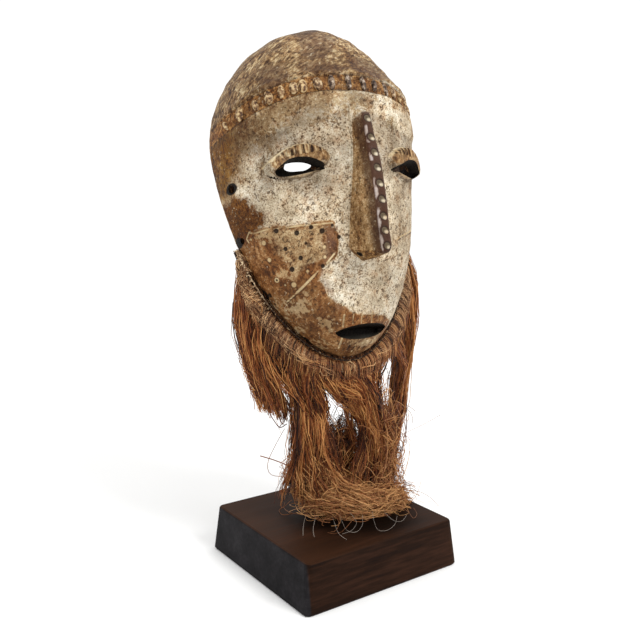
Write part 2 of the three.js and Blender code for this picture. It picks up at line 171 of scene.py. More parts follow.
def dress(obj, finish):
    """Gives every face of an object one finish"""
    obj.data.materials.clear()
    obj.data.materials.append(finish)
    obj.data.polygons.foreach_set("material_index", [0] * len(obj.data.polygons))


# Forms in numbers

def curve(pairs):
    """Smooth curve through given pairs that never overshoots them"""
    at, value = np.array(pairs, float).T
    slope = np.diff(value) / np.diff(at)
    tangent = np.concatenate([[slope[0]], np.zeros(len(at) - 2), [slope[-1]]])
    for i in range(1, len(at) - 1):
        if slope[i - 1] * slope[i] > 0:
            tangent[i] = 2 * slope[i - 1] * slope[i] / (slope[i - 1] + slope[i])

    def along(v):
        c = np.clip(v, at[0], at[-1])
        i = np.clip(np.searchsorted(at, c, side="left") - 1, 0, len(at) - 2)
        h = at[i + 1] - at[i]
        t = (c - at[i]) / h
        a = value[i] * (1 + 2 * t) * (1 - t) ** 2
        b = value[i + 1] * t * t * (3 - 2 * t)
        return a + b + h * tangent[i] * t * (1 - t) ** 2 - h * tangent[i + 1] * t * t * (1 - t)
    return along


depth_at, power_at = curve(DEPTHS), curve(POWERS)
nose_rise, nose_spread, nose_base = curve(NOSE_RISE), curve(NOSE_SPREAD), curve(NOSE_BASE)


def half_width(z):
    z = np.asarray(z, float)
    reach = np.where(z > WIDEST_AT, MASK_LENGTH - WIDEST_AT, WIDEST_AT)
    p = np.where(z > WIDEST_AT, UPPER_POWER, LOWER_POWER)
    s = np.clip(np.abs(z - WIDEST_AT) / reach, 0, 1)
    return MASK_HALF_WIDTH * (1 - s ** p) ** (1 / p)


def rim_bow(z):
    z = np.asarray(z, float)
    upper = CROWN_BOW * ((z - WIDEST_AT) / (MASK_LENGTH - WIDEST_AT)) ** 2
    return np.where(z > WIDEST_AT, upper, CHIN_BOW * ((z - WIDEST_AT) / WIDEST_AT) ** 2)


def skin(angle, z, wide=1.0, deep=1.0):
    """Point of the face at an angle from its middle line"""
    p = power_at(z)
    s = np.sin(angle)
    x = half_width(z) * wide * np.sign(s) * np.abs(s) ** (2 / p)
    y = -depth_at(z) * deep * np.maximum(0, np.cos(angle)) ** (2 / p) + rim_bow(z)
    return np.stack(np.broadcast_arrays(x, y, np.asarray(z, float)), -1)


def outward(angle, z):
    low, high = np.clip(z - 0.5, 0.02, None), np.clip(z + 0.5, None, MASK_LENGTH - 0.02)
    n = np.cross(skin(angle + 0.01, z) - skin(angle - 0.01, z), skin(angle, high) - skin(angle, low))
    return n / np.maximum(np.linalg.norm(n, axis=-1, keepdims=True), 1e-9)


def on_face(x, z, out=0.0):
    """Point of the face at a distance from the middle line, raised by a height"""
    x, z = np.broadcast_arrays(np.asarray(x, float), np.asarray(z, float))
    r = np.clip(np.abs(x) / np.maximum(half_width(z), 1e-6), 0, 1) ** (power_at(z) / 2)
    angle = np.sign(x) * np.arcsin(r)
    return skin(angle, z) + outward(angle, z) * np.asarray(out, float)[..., None]


def placed(points):
    """From the mask's own frame to the stand's"""
    x, y, z = np.moveaxis(np.asarray(points, float), -1, 0)
    y, z = y * math.cos(LEAN) - z * math.sin(LEAN), y * math.sin(LEAN) + z * math.cos(LEAN)
    x, y = x * math.cos(TURN) - y * math.sin(TURN), x * math.sin(TURN) + y * math.cos(TURN)
    return np.stack([x, y, z], -1) + SEAT


def step(low, high, v):
    """Smooth change from 0 at low to 1 at high"""
    t = np.clip((v - low) / (high - low), 0, 1)
    return t * t * (3 - 2 * t)


def waves(points, period, seed):
    """Smooth random field from -1 to 1 with a given period in millimetres"""
    cells = 24
    table = np.random.default_rng(seed).uniform(-1, 1, (cells, cells, cells))
    q = np.asarray(points, float) / period + 100
    base = np.floor(q).astype(int)
    f = q - base
    f = f * f * (3 - 2 * f)
    total = 0
    for dx, dy, dz in np.ndindex(2, 2, 2):
        i, j, k = np.moveaxis((base + (dx, dy, dz)) % cells, -1, 0)
        share = np.where(dx, f[..., 0], 1 - f[..., 0]) * np.where(dy, f[..., 1], 1 - f[..., 1])
        total = total + table[i, j, k] * share * np.where(dz, f[..., 2], 1 - f[..., 2])
    return total


def about(count):
    """Even angles round a circle"""
    return 2 * math.pi * np.arange(count) / count


def loft(rings):
    """Closed mesh from rings of equal length, each end closed by a fan"""
    rings = np.asarray(rings, float)
    m, n = rings.shape[:2]
    points = np.concatenate([rings.reshape(-1, 3), rings[0].mean(0)[None], rings[-1].mean(0)[None]])
    faces = []
    for i in range(m - 1):
        for j in range(n):
            a, b = i * n + j, i * n + (j + 1) % n
            faces.append((a, b, b + n, a + n))
    for first, middle, flip in ((0, m * n, True), ((m - 1) * n, m * n + 1, False)):
        for j in range(n):
            a, b = first + j, first + (j + 1) % n
            faces.append((b, a, middle) if flip else (a, b, middle))
    return points, faces


def merge(parts):
    """Closed meshes as one, each turned to face outwards"""
    points, faces, shift = [], [], 0
    for p, f in parts:
        points.append(p)
        faces += [tuple(i + shift for i in face) for face in facing_out(p, f)]
        shift += len(p)
    return np.concatenate(points), faces


def facing_out(points, faces):
    """The same faces, turned over if they enclose a negative volume"""
    volume = 0.0
    for f in faces:
        for k in range(1, len(f) - 1):
            volume += np.dot(points[f[0]], np.cross(points[f[k]], points[f[k + 1]]))
    return faces if volume > 0 else [tuple(reversed(f)) for f in faces]


def ball(middle, radius, rows=12, columns=20):
    rings = []
    b = about(columns)
    for i in range(1, rows):
        a = math.pi * i / rows
        rings.append(np.stack([middle[0] + radius * math.sin(a) * np.cos(b),
                               middle[1] + radius * math.sin(a) * np.sin(b),
                               np.full(columns, middle[2] - radius * math.cos(a))], -1))
    points, faces = loft(rings)
    points[-2], points[-1] = np.array(middle) - (0, 0, radius), np.array(middle) + (0, 0, radius)
    return points, faces


# Carving

# Cuts across the upper eyelids: place and half width
LID_CUTS = [(-50.2, 0.7), (-46.2, 0.6), (-43.8, 0.7), (-40.6, 0.6), (-36.0, 0.8), (-31.5, 0.6),
            (27.6, 0.8), (30.6, 0.8), (33.6, 0.8), (36.6, 0.8), (39.6, 0.8)]
# Short cuts above and below the mouth: place, from, to and how faint
SCARS = [(-12.6, 17.5, 24.5, 0.0), (-6, 18.5, 24, 0.15), (0.3, 18.5, 23, 0.15), (8.8, 18.5, 25, 0.15),
         (15, 19, 23, 0.4), (-12, 5.5, 11, 0.0), (-5, 3.6, 6.4, 0.1), (-0.8, 2.8, 5.6, 0.1),
         (3.5, 2.8, 5, 0.35), (8, 2.8, 5, 0.35)]


def band_height(x):
    return BAND_UP - BAND_DROP * np.abs(x / 70) ** 2.4


def band_waver(x, z):
    """How far the hand of the carver strays from the band's even line"""
    return 0.35 * waves(np.stack([x, 0 * x, z], -1), 9, 6)


def cut_line(at, z):
    """Where a cut across an eyelid has got to at a height: the cuts spread like a fan"""
    fan, even_at = 0.035, 121
    return at + (at - math.copysign(EYE_ACROSS, at)) * fan * (z - even_at)


def lid_reach(x, z):
    """Share of the way from the middle of an eyelid to its edge"""
    across = np.abs(np.abs(x) - EYE_ACROSS) / EYE_HALF_LENGTH
    up = np.abs(z - EYE_UP) / LID_HALF_HEIGHT
    return (across ** 1.7 + up ** 1.7) ** (1 / 1.7)


def brow_line(x):
    return np.interp(np.abs(x), [0, 9.5, 20, 39, 55, 67.5, 75], [152, 151.5, 147, 141, 142.5, 146, 148])


def relief(x, z):
    """Height of the carving over the plain face, in millimetres"""
    spot = np.stack([x, 0 * x, z], -1)
    aside = np.abs(x)
    hollow_deep, edge_high, cut_deep, scar_deep, scar_half = 1.5, 0.7, 1.3, 0.55, 0.8
    high = 0.34 * waves(spot, 17, 3) + 0.2 * waves(spot, 6, 4) + 0.08 * waves(spot, 2.6, 14)
    # Hollow under the brow
    brow = z - brow_line(x) - 0.8 * waves(spot, 14, 5)
    fade = step(24, 70, -brow)
    high -= hollow_deep * step(1.5, -3.5, brow) * (1 - fade) * step(0.0, 12.0, aside) * step(74, 62, aside)
    # Eyelids with their raised edge and the cuts across them
    r = lid_reach(x, z)
    lid = LID_PROUD * (1 - np.clip(r, 0, 1) ** 9) ** 0.75
    lid *= 1 - 0.62 * step(-2.0, -7.0, z - EYE_UP)
    lid += np.where(r < 1, edge_high * np.exp(-((r - 0.9) / 0.05) ** 2) * step(1, 4, z - EYE_UP), 0)
    for at, wide in LID_CUTS:
        cut = cut_deep * np.exp(-((x - cut_line(at, z)) / wide) ** 2)
        lid -= cut * step(2.0, 4.0, z - EYE_UP) * step(1.0, 0.86, r)
    high = np.where(r < 1.0, lid + high * 0.4, high)
    # Sunk band and the lip over it
    off = z - band_height(x) - band_waver(x, z)
    ends = step(73.5, 68.0, aside)
    sunk = step(BAND_HALF + 0.5, BAND_HALF - 0.4, np.abs(off)) * ends
    high -= sunk * (BAND_DEEP + 0.45 * waves(spot, 4, 7))
    high += (0.7 + 1.0 * waves(spot, 6.5, 8)) * np.exp(-((off - BAND_HALF - 2.4) / 2.2) ** 2) * ends
    # Slanting tool marks of the crown
    slant = np.stack([x * 0.8 - z * 0.6, 0 * x, (x * 0.6 + z * 0.8) * 0.35], -1)
    crown = step(BAND_HALF + 1, BAND_HALF + 5, off)
    high += crown * (0.45 * waves(slant, 4.5, 12) + 0.35 * waves(spot, 9, 13))
    for middle, low, top, _ in SCARS:
        groove = np.exp(-((x - middle) / scar_half) ** 2)
        high -= scar_deep * groove * step(low - 1, low + 1, z) * step(top + 1, top - 1, z)
    return high


def face_grid(rows, columns):
    """Front of the mask as a grid that follows the band and is finer over the carving"""
    fine = np.linspace(0, MASK_LENGTH, 2400)
    # Rows crowd together at the eyelids, the band, the mouth and both ends
    weight = 1 + 0.9 * np.exp(-((fine - 119) / 13) ** 2) + 1.3 * np.exp(-((fine - 167) / 8) ** 2)
    weight += 0.5 * np.exp(-((fine - 15) / 12) ** 2)
    weight += 0.5 / np.sqrt(0.004 + (fine / MASK_LENGTH) * (1 - fine / MASK_LENGTH))
    run = np.concatenate([[0], np.cumsum((weight[1:] + weight[:-1]) / 2)])
    levels = np.interp(np.linspace(0, run[-1], rows + 1), run, fine)
    angle = np.linspace(-math.pi / 2, math.pi / 2, columns + 1)
    z, a = np.meshgrid(levels, angle, indexing="ij")
    follow = np.exp(-((z - BAND_UP) / 26) ** 2)
    z = z - follow * BAND_DROP * np.abs(72 * np.sin(a) / 70) ** 2.4
    z = np.clip(z, 0, MASK_LENGTH)
    p = skin(a, z)
    raised = relief(p[..., 0], z)
    edge = step(0, 5, z) * step(MASK_LENGTH, MASK_LENGTH - 5, z)
    return p + outward(a, z) * (raised * edge)[..., None]


def hollow(rows, columns):
    """What is taken out behind the face, open to the back"""
    shallower, back = 0.9, 30
    rings = []
    angle = np.linspace(-math.pi / 2, math.pi / 2, columns + 1)
    for i in range(rows + 1):
        share = 0.006 + 0.988 * (1 - math.cos(math.pi * i / rows)) / 2
        z = CHIN_WALL + (MASK_LENGTH - WALL - CHIN_WALL) * share
        ring = skin(angle, MASK_LENGTH * share, (MASK_HALF_WIDTH - WALL) / MASK_HALF_WIDTH, shallower)
        ring[:, 1] += 0.5 * waves(ring, 13, 9) * np.cos(angle)
        ring[:, 2] = z
        side = ring[-1, 0]
        rings.append(np.vstack([ring, [[side, back, z], [-side, back, z]]]))
    return loft(rings)


def ridge_half(z):
    """Half width of the strip along the ridge of the nose, narrower toward the forehead"""
    return NOSE_RIDGE * (1 - 0.28 * step(105, 150, z))


def nose():
    """Long wedge with flat sides, a rounded ridge strip and an underside that slopes down to the lip"""
    rounding, skirt = 1.9, 3
    rings = []
    for ridge in np.linspace(NOSE_TIP, NOSE_TOP, 76):
        half, base = nose_spread(ridge), nose_base(ridge)
        foot = on_face(half, base)[1]
        near_tip = max(0.0, 1 - (ridge - NOSE_TIP) / 5.2) ** 2
        top = on_face(0.0, ridge)[1] - nose_rise(ridge) + rounding * near_tip
        shoulder = min(ridge_half(ridge), half * 0.7)
        shoulder *= 1 - 0.4 * max(0.0, 1 - (ridge - NOSE_TIP) / 5.0) ** 2
        flank = []
        for t in np.linspace(0, 1, 12):
            y = (foot - 0.4) * (1 - t) + (top + rounding) * t + 0.5 * math.sin(math.pi * t)
            flank.append((-half + (half - shoulder) * t, y, base * (1 - t) + ridge * t))
        crest = [(shoulder * a, top + rounding * (1 - math.sqrt(1 - a * a)), ridge)
                 for a in np.linspace(-1, 1, 13)[1:-1]]
        other = [(-x, y, z) for x, y, z in flank[::-1]]
        rings.append([(-half, foot + skirt, base)] + flank + crest + other + [(half, foot + skirt, base)])
    rings = np.array(rings)
    root = np.array([0.0, on_face(0.0, NOSE_ROOT)[1] + 2.5, NOSE_ROOT])
    under = [root + (rings[0] - root) * share - (0, 0, 0.8 * math.sin(math.pi * share))
             for share in np.linspace(0.04, 0.94, 12)]
    points, faces = loft(np.concatenate([under, rings]))
    points[-2] = root
    return points, faces


def lips():
    """Almond outline of the mouth, its line rising a little to the far side"""
    middle, half, up, above, below, tilt, point = 3.9, 20.8, 15.3, 2.6, 6.3, 0.04, 1.22
    a = about(48)
    rise = np.where(np.sin(a) > 0, above, below) * np.sign(np.sin(a)) * np.abs(np.sin(a)) ** point
    return np.stack([middle + half * np.cos(a), up + tilt * half * np.cos(a) + rise], -1)


LIPS = lips()


def smooth_ring(corners, each=4):
    """Closed smooth outline through given points"""
    p = np.array(corners, float)
    a, b, c = np.roll(p, 1, 0), p, np.roll(p, -1, 0)
    d = np.roll(p, -2, 0)
    rows = []
    for t in np.arange(each) / each:
        square, cube = 2 * a - 5 * b + 4 * c - d, 3 * b - a - 3 * c + d
        rows.append(0.5 * (2 * b + (c - a) * t + square * t * t + cube * t ** 3))
    return np.stack(rows, 1).reshape(-1, 2)


EYE_OPENING = smooth_ring([(55.2, 115.2), (52.7, 117.4), (49.5, 119.6), (45.8, 120.3), (41.5, 119.9),
                           (36.3, 118.5), (30.7, 115.6), (25.2, 113.7), (30, 112.6), (35.5, 111.8),
                           (40.8, 111.3), (45.5, 111.5), (49.8, 112.3), (53.2, 113.6)])
EYE_THROAT = smooth_ring([(46.6, 118.9), (44.8, 116.9), (42, 115.9), (38.5, 115.5), (35.1, 115.4),
                          (31.6, 117), (29.6, 119.3), (32.5, 122.2), (38.9, 123.3), (44.8, 122.6)], 5)


def even_ring(outline, count=56):
    """The same outline with points at even angles about its middle"""
    middle = (outline.max(0) + outline.min(0)) / 2
    spread = (outline.max(0) - outline.min(0)) / 2
    away = (outline - middle) / spread
    angle = np.unwrap(np.arctan2(away[:, 1], away[:, 0]))
    if angle[-1] < angle[0]:
        away, angle = away[::-1], angle[::-1]
    around = np.concatenate([angle, angle + 2 * math.pi, angle + 4 * math.pi])
    span = math.ceil(angle[0] / (2 * math.pi)) * 2 * math.pi + about(count)
    held = [np.interp(span, around, np.tile(away[:, k], 3)) for k in (0, 1)]
    return middle + np.stack(held, -1) * spread


def funnel(outline, throat, sunk, back, side=1):
    """Opening square to the front that keeps its outline to a depth under the face, then narrows"""
    ahead, taper = -60, 3.5
    rings = []
    outline, throat = even_ring(outline), even_ring(throat)
    for shape, under in ((outline, ahead), (outline, sunk), (throat, sunk + taper)):
        depth = on_face(shape[:, 0], shape[:, 1])[:, 1] + under
        rings.append(np.stack([side * shape[:, 0], depth, shape[:, 1]], -1))
    rings.append(np.stack([side * throat[:, 0], np.full(len(throat), back), throat[:, 1]], -1))
    return loft(rings)


def bore(x, z, radius):
    """Round hole through the wall, square to the face"""
    inward, ahead = 13, 5
    middle, raised = on_face(x, z), on_face(x, z, 1.0)
    axis = raised - middle
    across = np.cross(axis, (0, 0, 1))
    across /= np.linalg.norm(across)
    up = np.cross(across, axis)
    a = about(24)
    ring = radius * (np.cos(a)[:, None] * across + np.sin(a)[:, None] * up)
    return loft([middle + ring - axis * inward, middle + ring + axis * ahead])


def ridge_top(z):
    return np.array([0.0, on_face(0.0, z)[1] - nose_rise(z), z])


def openings():
    """Mouth, eyes, rim holes, pits along the ridge and nostrils, as one mesh to take out"""
    middle = LIPS.mean(0)
    throat_share, lip_deep, mouth_back, lid_deep, eye_back = 0.86, 2.0, -14.0, 2.2, -5.0
    cuts = [funnel(LIPS, middle + (LIPS - middle) * throat_share, lip_deep, mouth_back)]
    for side in (-1, 1):
        cuts.append(funnel(EYE_OPENING, EYE_THROAT, lid_deep, eye_back, side))
        cuts += [bore(side * x, z, radius) for x, z, radius in RIM_HOLES]
    pit_radius, pit_ahead, nostril_radius = 4.4, 3.25, 1.7
    cuts += [ball(ridge_top(z) - (0, pit_ahead, 0), pit_radius) for z in RIDGE_PITS]
    cuts += [ball(np.array(NOSTRIL) * (side, 1, 1), nostril_radius, 8, 12) for side in (-1, 1)]
    return merge(cuts)


def carve_mask():
    body = mesh_of("mask_carved", *loft(face_grid(262, 236)))
    helpers = []
    for kind, (points, faces) in (("UNION", nose()), ("DIFFERENCE", hollow(64, 72)),
                                  ("DIFFERENCE", openings())):
        helper = mesh_of("cutter", points, facing_out(points, faces))
        helper.hide_render = True
        change = body.modifiers.new(kind, "BOOLEAN")
        change.operation, change.solver, change.object = kind, "MANIFOLD", helper
        helpers.append(helper)
    body.data.polygons.foreach_set("use_smooth", [True] * len(body.data.polygons))
    finished(body)
    for helper in helpers:
        bpy.data.objects.remove(helper)
    return body


mask = carve_mask()


# Marks on the face

# Outlines of painted and worn patches, and of painted shade, across and up the mask in millimetres
PATCHES = {
    "bare": [[(-64, 87), (-58, 86), (-44, 84), (-30, 82), (-21, 81), (-18, 74), (-18, 63), (-26, 55),
              (-29, 47), (-24, 38), (-15, 30), (-8, 26), (5, 23), (22, 22), (31, 20), (26, 9), (14, 2),
              (0, -3), (-18, 2), (-33, 12), (-50, 32), (-58, 45), (-66, 61), (-74, 83)]],
    "edge": [[(-76, 156), (-70, 152), (-68.5, 138), (-68, 126), (-70, 116), (-76, 110)]],
    "bruise": [[(-22, 209), (-8, 222), (1, 211), (1, 200), (-11, 187), (-22, 186), (-27, 194)],
               [(-53, 186), (-45, 191), (-39, 184), (-40, 174), (-49, 167), (-55, 170)],
               [(7, 191), (20, 191), (34, 182), (30, 172), (13, 172), (4, 180)],
               [(-30, 185), (-12, 184), (0, 178), (-10, 173), (-23, 175), (-34, 176)]],
    "tan": [[(-60, 85), (-44, 82), (-27, 81), (-24, 62), (-38, 56), (-43, 50), (-48, 62), (-54, 78)],
            [(-10, 10), (-2, 9.5), (12, 9.5), (19, 11), (14, 6), (6, 5), (-7, 5.5)]],
    "smear": [[(-50, 43), (-45, 40), (-40, 31), (-43, 28), (-48, 35)],
              [(-43, 40), (-36, 37), (-31, 31), (-35, 26), (-42, 31)],
              [(-39, 44), (-33, 43), (-32, 37), (-37, 36)],
              [(-30, 25), (-21, 24), (-20, 17), (-28, 18)], [(-40, 25), (-34, 24), (-34, 20), (-39, 20)],
              [(-28, 14), (-22, 12), (-14, 7), (-18, 4), (-25, 8)],
              [(-60, 82), (-56, 84), (-50, 82), (-54, 77)],
              [(-52, 58), (-46, 60), (-45, 52), (-51, 52)]],
    # Painted shade at the outer corner of the near eye, under the brow
    "eye_corner_painted_shade": [[(-56, 130), (-60, 126), (-61, 118), (-58, 110), (-52, 108), (-52, 112), (-56, 117),
               (-54, 124)]],
    "soot": [[(-75, 112), (-70, 110), (-65, 108), (-62, 101), (-57, 95), (-56, 89), (-60, 87), (-64, 84),
              (-67, 82), (-75, 84), (-76, 97)]],
    # Painted shade where the face turns away at the near temple and under the chin
    "edge_painted_shade": [[(-72, 160), (-67, 152), (-65, 146), (-64, 138), (-66, 130), (-70, 128), (-72, 138)],
             [(-26, 8), (-14, 6), (2, 2), (12, 3), (4, -3), (-14, -1)]],
    "mauve": [[(-26, 79), (-19, 78), (-19, 63), (-24, 58), (-25, 50), (-20, 38), (-13, 28), (-18, 29),
               (-26, 40), (-30, 53), (-26, 61)],
              [(-37, 99), (-31, 98), (-31, 94), (-35, 93)], [(-37, 89), (-33, 90), (-33, 84), (-37, 84)]],
    # The first grey outline follows the near brow: painted shade under it
    "grey": [[(-64, 137), (-52, 140), (-39, 148), (-25, 155), (-16, 149), (-28, 143), (-44, 137), (-60, 131)],
             [(-9, 162), (8, 160), (9, 153), (-4, 152)], [(6, 56), (22, 58), (30, 48), (22, 36), (10, 40)]],
}
# Where the clay lies thicker, on the cheek, and thinner, over the far eye
THICK_CHEEK = [(-18, 60), (-2, 57), (24, 60), (40, 69), (50, 51), (36, 30), (23, 24), (-2, 26), (-12, 30),
               (-24, 41), (-26, 53)]
THIN_BROW = [(20, 168), (36, 165), (56, 158), (76, 146), (76, 120), (66, 138), (46, 150), (24, 157)]
# Round marks: across, up, radius, and for the lace holes how much their width is squashed
LIGHT_DISCS = [(-58, 77.2, 1.7), (-55.2, 66.2, 1.6), (-51, 53.2, 1.8), (-42.8, 47.8, 1.8), (-26.2, 67, 1.3),
               (-25.8, 61, 1.2), (-35.8, 54.2, 1.1), (-63, 82, 1.0), (-29, 66, 0.8), (-47, 49, 0.8)]
DARK_PITS = [(-52.5, 82, 1.5), (-42, 78, 1.5), (-34, 80, 1.3), (-27.5, 76.8, 1.6), (-21.2, 79.5, 1.0),
             (-16.8, 72, 1.2), (-47.8, 70, 1.3), (-39.8, 62.8, 1.4), (-44.2, 57.2, 1.6), (-37, 71, 0.9),
             (-27, 55.8, 1.2), (-51, 53.2, 0.7), (-62, 60, 0.8), (-49, 40, 0.8), (-31, 12, 1.6),
             (-52, 46, 1.5)]
# The lace holes are painted near black: painted shade inside them
LACE_HOLES = [(-70.8, 117, 3.0, 0.62), (-66.2, 83.6, 2.9, 0.8), (-53.5, 47.2, 3.6, 0.9),
              (-30.4, 14.5, 3.2, 1.0)]
# Places toned down: how much, and their outline; those under the near brow and over the far cheek are painted
# shade
WASHES = [
    (0.22, [(-24, 66), (0, 58), (30, 60), (60, 84), (62, 60), (44, 30), (20, 14), (-2, 26), (-16, 44)]),
    (0.46, [(-76, 152), (-64, 132), (-48, 135), (-32, 141), (-20, 147), (-15, 152), (-17, 161), (-40, 158),
            (-58, 154)]),
    (0.30, [(-17, 147), (-16, 163), (12, 164), (14, 154), (6, 150)]),
    # Painted shade under the near brow
    (0.13, [(-62, 133), (-44, 139), (-26, 145), (-18, 142), (-24, 133), (-40, 131), (-56, 128)]),
    # Painted shade over the far cheek, away from the light
    (0.20, [(28, 106), (60, 114), (77, 112), (77, 80), (61, 46), (46, 24), (31, 32), (35, 60), (27, 82)]),
    (0.30, [(-62, 44), (-50, 30), (-33, 10), (-18, 0), (0, -6), (14, -2), (28, 8), (22, 13), (-8, 15),
            (-24, 36), (-38, 50)]),
    (0.26, [(-76, 156), (-60, 166), (-30, 174), (20, 176), (60, 166), (76, 158), (66, 184), (30, 196),
            (-20, 198), (-60, 186)]),
]
# Scratched and inlaid pale lines: half width, then the points they run through
LIGHT_LINES = [
    (0.42, [(-63.8, 86.5), (-62.5, 85), (-55.5, 84.2), (-48, 82.6), (-40, 81.8), (-30, 81), (-20.8, 80.8)]),
    (0.36, [(-64, 86.8), (-64.5, 83.5), (-63.5, 80.5)]),
    (0.42, [(-19.5, 62.5), (-22, 60), (-24.5, 57.2)]),
    (0.3, [(-29.6, 53.4), (-36.5, 47), (-45.2, 38.8)]), (0.6, [(-32, 51), (-36.5, 46.9), (-41, 42.8)]),
    (0.4, [(30, 70), (35, 73), (50, 79), (65, 85.5)]),
]
DARK_LINES = [(0.35, [(30, 68.8), (35, 71.8), (50, 77.8), (65, 84.3)]),
              (0.4, [(-30.6, 51.8), (-37, 46), (-45, 38)]), (0.4, [(-60, 108), (-50, 104.5), (-42, 105)]),
              (0.5, [(-10, 65), (-4, 61), (6, 60), (12, 63)])]
# Distances that stand for nowhere near a mark and for outside an outline
FAR, OUTSIDE = 20.0, -20.0


def inside_outline(x, z, outline):
    """Distance in millimetres inside an outline, negative outside it"""
    p = np.array(outline, float)
    q = np.roll(p, -1, 0)
    near = np.full(x.shape, 1e9)
    within = np.zeros(x.shape, bool)
    for (ax, az), (bx, bz) in zip(p, q):
        run = np.array([bx - ax, bz - az])
        t = np.clip(((x - ax) * run[0] + (z - az) * run[1]) / run.dot(run), 0, 1)
        near = np.minimum(near, np.hypot(x - ax - t * run[0], z - az - t * run[1]))
        crosses = (az > z) != (bz > z)
        at = ax + (z - az) * run[0] / np.where(run[1] == 0, 1e-9, run[1])
        within ^= crosses & (x < at)
    return np.where(within, near, -near)


def from_line(points, stations):
    """Distance of each point from a line laid over the face"""
    line = np.array(stations, float)
    run = np.linspace(0, len(line) - 1, 6 * len(line))
    laid = on_face(*(np.interp(run, range(len(line)), line[:, k]) for k in (0, 1)))
    near = np.full(len(points), 1e9)
    for a, b in zip(laid[:-1], laid[1:]):
        t = np.clip((points - a) @ (b - a) / (b - a).dot(b - a), 0, 1)
        near = np.minimum(near, np.linalg.norm(points - a - t[:, None] * (b - a), axis=1))
    return near


def from_lines(points, lines):
    """Distance of each point from the edge of the nearest of some lines"""
    near = np.full(len(points), FAR)
    for half, stations in lines:
        near = np.minimum(near, from_line(points, stations) - half)
    return near


def from_spots(points, spots):
    """Distance of each point from the edge of the nearest of some round marks"""
    near = np.full(len(points), FAR)
    for x, z, radius, *squash in spots:
        flat = squash[0] if squash else 1
        apart = (points - on_face(x, z)) * (flat, flat, 1)
        near = np.minimum(near, np.linalg.norm(apart, axis=1) - radius)
    return near


def deepest(x, z, outlines):
    """Distance inside the outline that reaches furthest over each point"""
    most = np.full(x.shape, OUTSIDE)
    for outline in outlines:
        most = np.maximum(most, inside_outline(x, z, outline))
    return most


def ground_clay(x, z, bare):
    """How thick the pale clay lies: 0 is bare brown wood, 1 is thick clay"""
    off = z - band_height(x)
    crown = step(5, 8, off)
    clay = 0.78 - 0.26 * step(-34, -8, off) * step(14, -6, x) - 0.06 * step(-40, -15, off)
    clay -= 0.10 * step(-36, -58, x) * step(122, 140, z)
    clay += 0.10 * step(12, 0, np.abs(z - 134)) * step(-8, -20, x) * step(-60, -46, x)
    clay += 0.13 * np.clip(inside_outline(x, z, THICK_CHEEK) / 5, 0, 1)
    clay += 0.02 * step(14, 30, x) * step(160, 145, z)
    clay -= 0.12 * np.clip(inside_outline(x, z, THIN_BROW) / 5 + 0.5, 0, 1)
    clay -= 0.30 * step(-66, -73, x) + 0.12 * step(66, 72, x)
    clay = clay * (1 - crown) + crown * (0.42 - 0.14 * step(26, 8, off))
    return np.where(bare > 0, np.minimum(clay, 0.24), clay)


def nose_marks(points, front, under, ragged):
    """Brown sides, the dark strip along the ridge with its pits, the nostrils and the shade under the tip;
    painted highlights on the strip and in the pits, and painted shadow in the pits
    """
    x, y, z = points.T
    up = np.clip(z, NOSE_TIP + 1, NOSE_TOP)
    proud = -(y - on_face(x, z)[..., 1])
    spread = nose_spread(up) + 1.2
    on_nose = (np.abs(x) < spread) & (z > NOSE_TIP - 4) & (z < NOSE_TOP + 1) & front
    on_nose &= (proud > 0.3) & (under < 3)
    back = y - (on_face(0 * z, up)[..., 1] - nose_rise(up))
    flank = step(0.3, 1.6, proud) * step(147, 138, z + 2 * ragged)
    strip = step(0.4, -0.5, np.abs(x) - ridge_half(z)) * step(3.6, 2.0, back)
    strip = strip * step(146.5, 143, z + 0.6 * ragged)
    stain = step(12.0, 4.0, back) * step(148, 138, z) * step(-10.5, -6.5, x) * step(4, 2, x)
    flank, strip, stain = (np.where(on_nose, share, 0.0) for share in (flank, strip, stain))
    hearts, pit_highlight_reach, pit_shadow_reach = (np.full(x.shape, FAR) for _ in range(3))
    # Painted highlight toward the lower right of each pit and painted shadow toward the upper left
    for at in RIDGE_PITS:
        away = points - ridge_top(at)
        hearts = np.minimum(hearts, np.linalg.norm(away, axis=1))
        pit_highlight_reach = np.minimum(pit_highlight_reach, np.linalg.norm(away - (0.9, 0, -0.9), axis=1))
        pit_shadow_reach = np.minimum(pit_shadow_reach, np.linalg.norm(away - (-0.5, 0, 0.6), axis=1))
    mirrored = points * (np.where(x < 0, -1, 1)[:, None] * (1, 0, 0) + (0, 1, 1))
    # Share of the way from the face out to the ridge, at the end of the nose
    foot, tip = on_face(0.0, NOSE_ROOT)[1], ridge_top(NOSE_TIP)[1]
    reached = np.clip((foot - y) / (foot - tip), 0, 1)
    fall = nose_base(NOSE_TIP) - (nose_base(NOSE_TIP) - NOSE_TIP) * reached
    below = front & (np.abs(x) < spread + 1) & (z > NOSE_TIP - 10) & (z < fall - 0.6) & (proud > 0.6)
    # Painted highlight along the left edge of the ridge strip, broken between the pits
    ridge_highlight_line = step(1.4, 0.4, np.abs(x + ridge_half(z) - 1.4)) * step(2.9, 3.9, hearts)
    return {"flank": flank, "strip": strip, "stain": stain,
            "pit": hearts, "pit_painted_highlight": pit_highlight_reach, "pit_painted_shadow": pit_shadow_reach,
            "nostril": np.linalg.norm((mirrored - NOSTRIL) / (2.0, 2.6, 2.2), axis=1),
            "below": np.where(below, 1.0, 0.0),
            "ridge_painted_highlight": np.where(strip > 0.5, ridge_highlight_line * step(-0.3, 0.4, waves(points, 6, 41)), 0.0)}


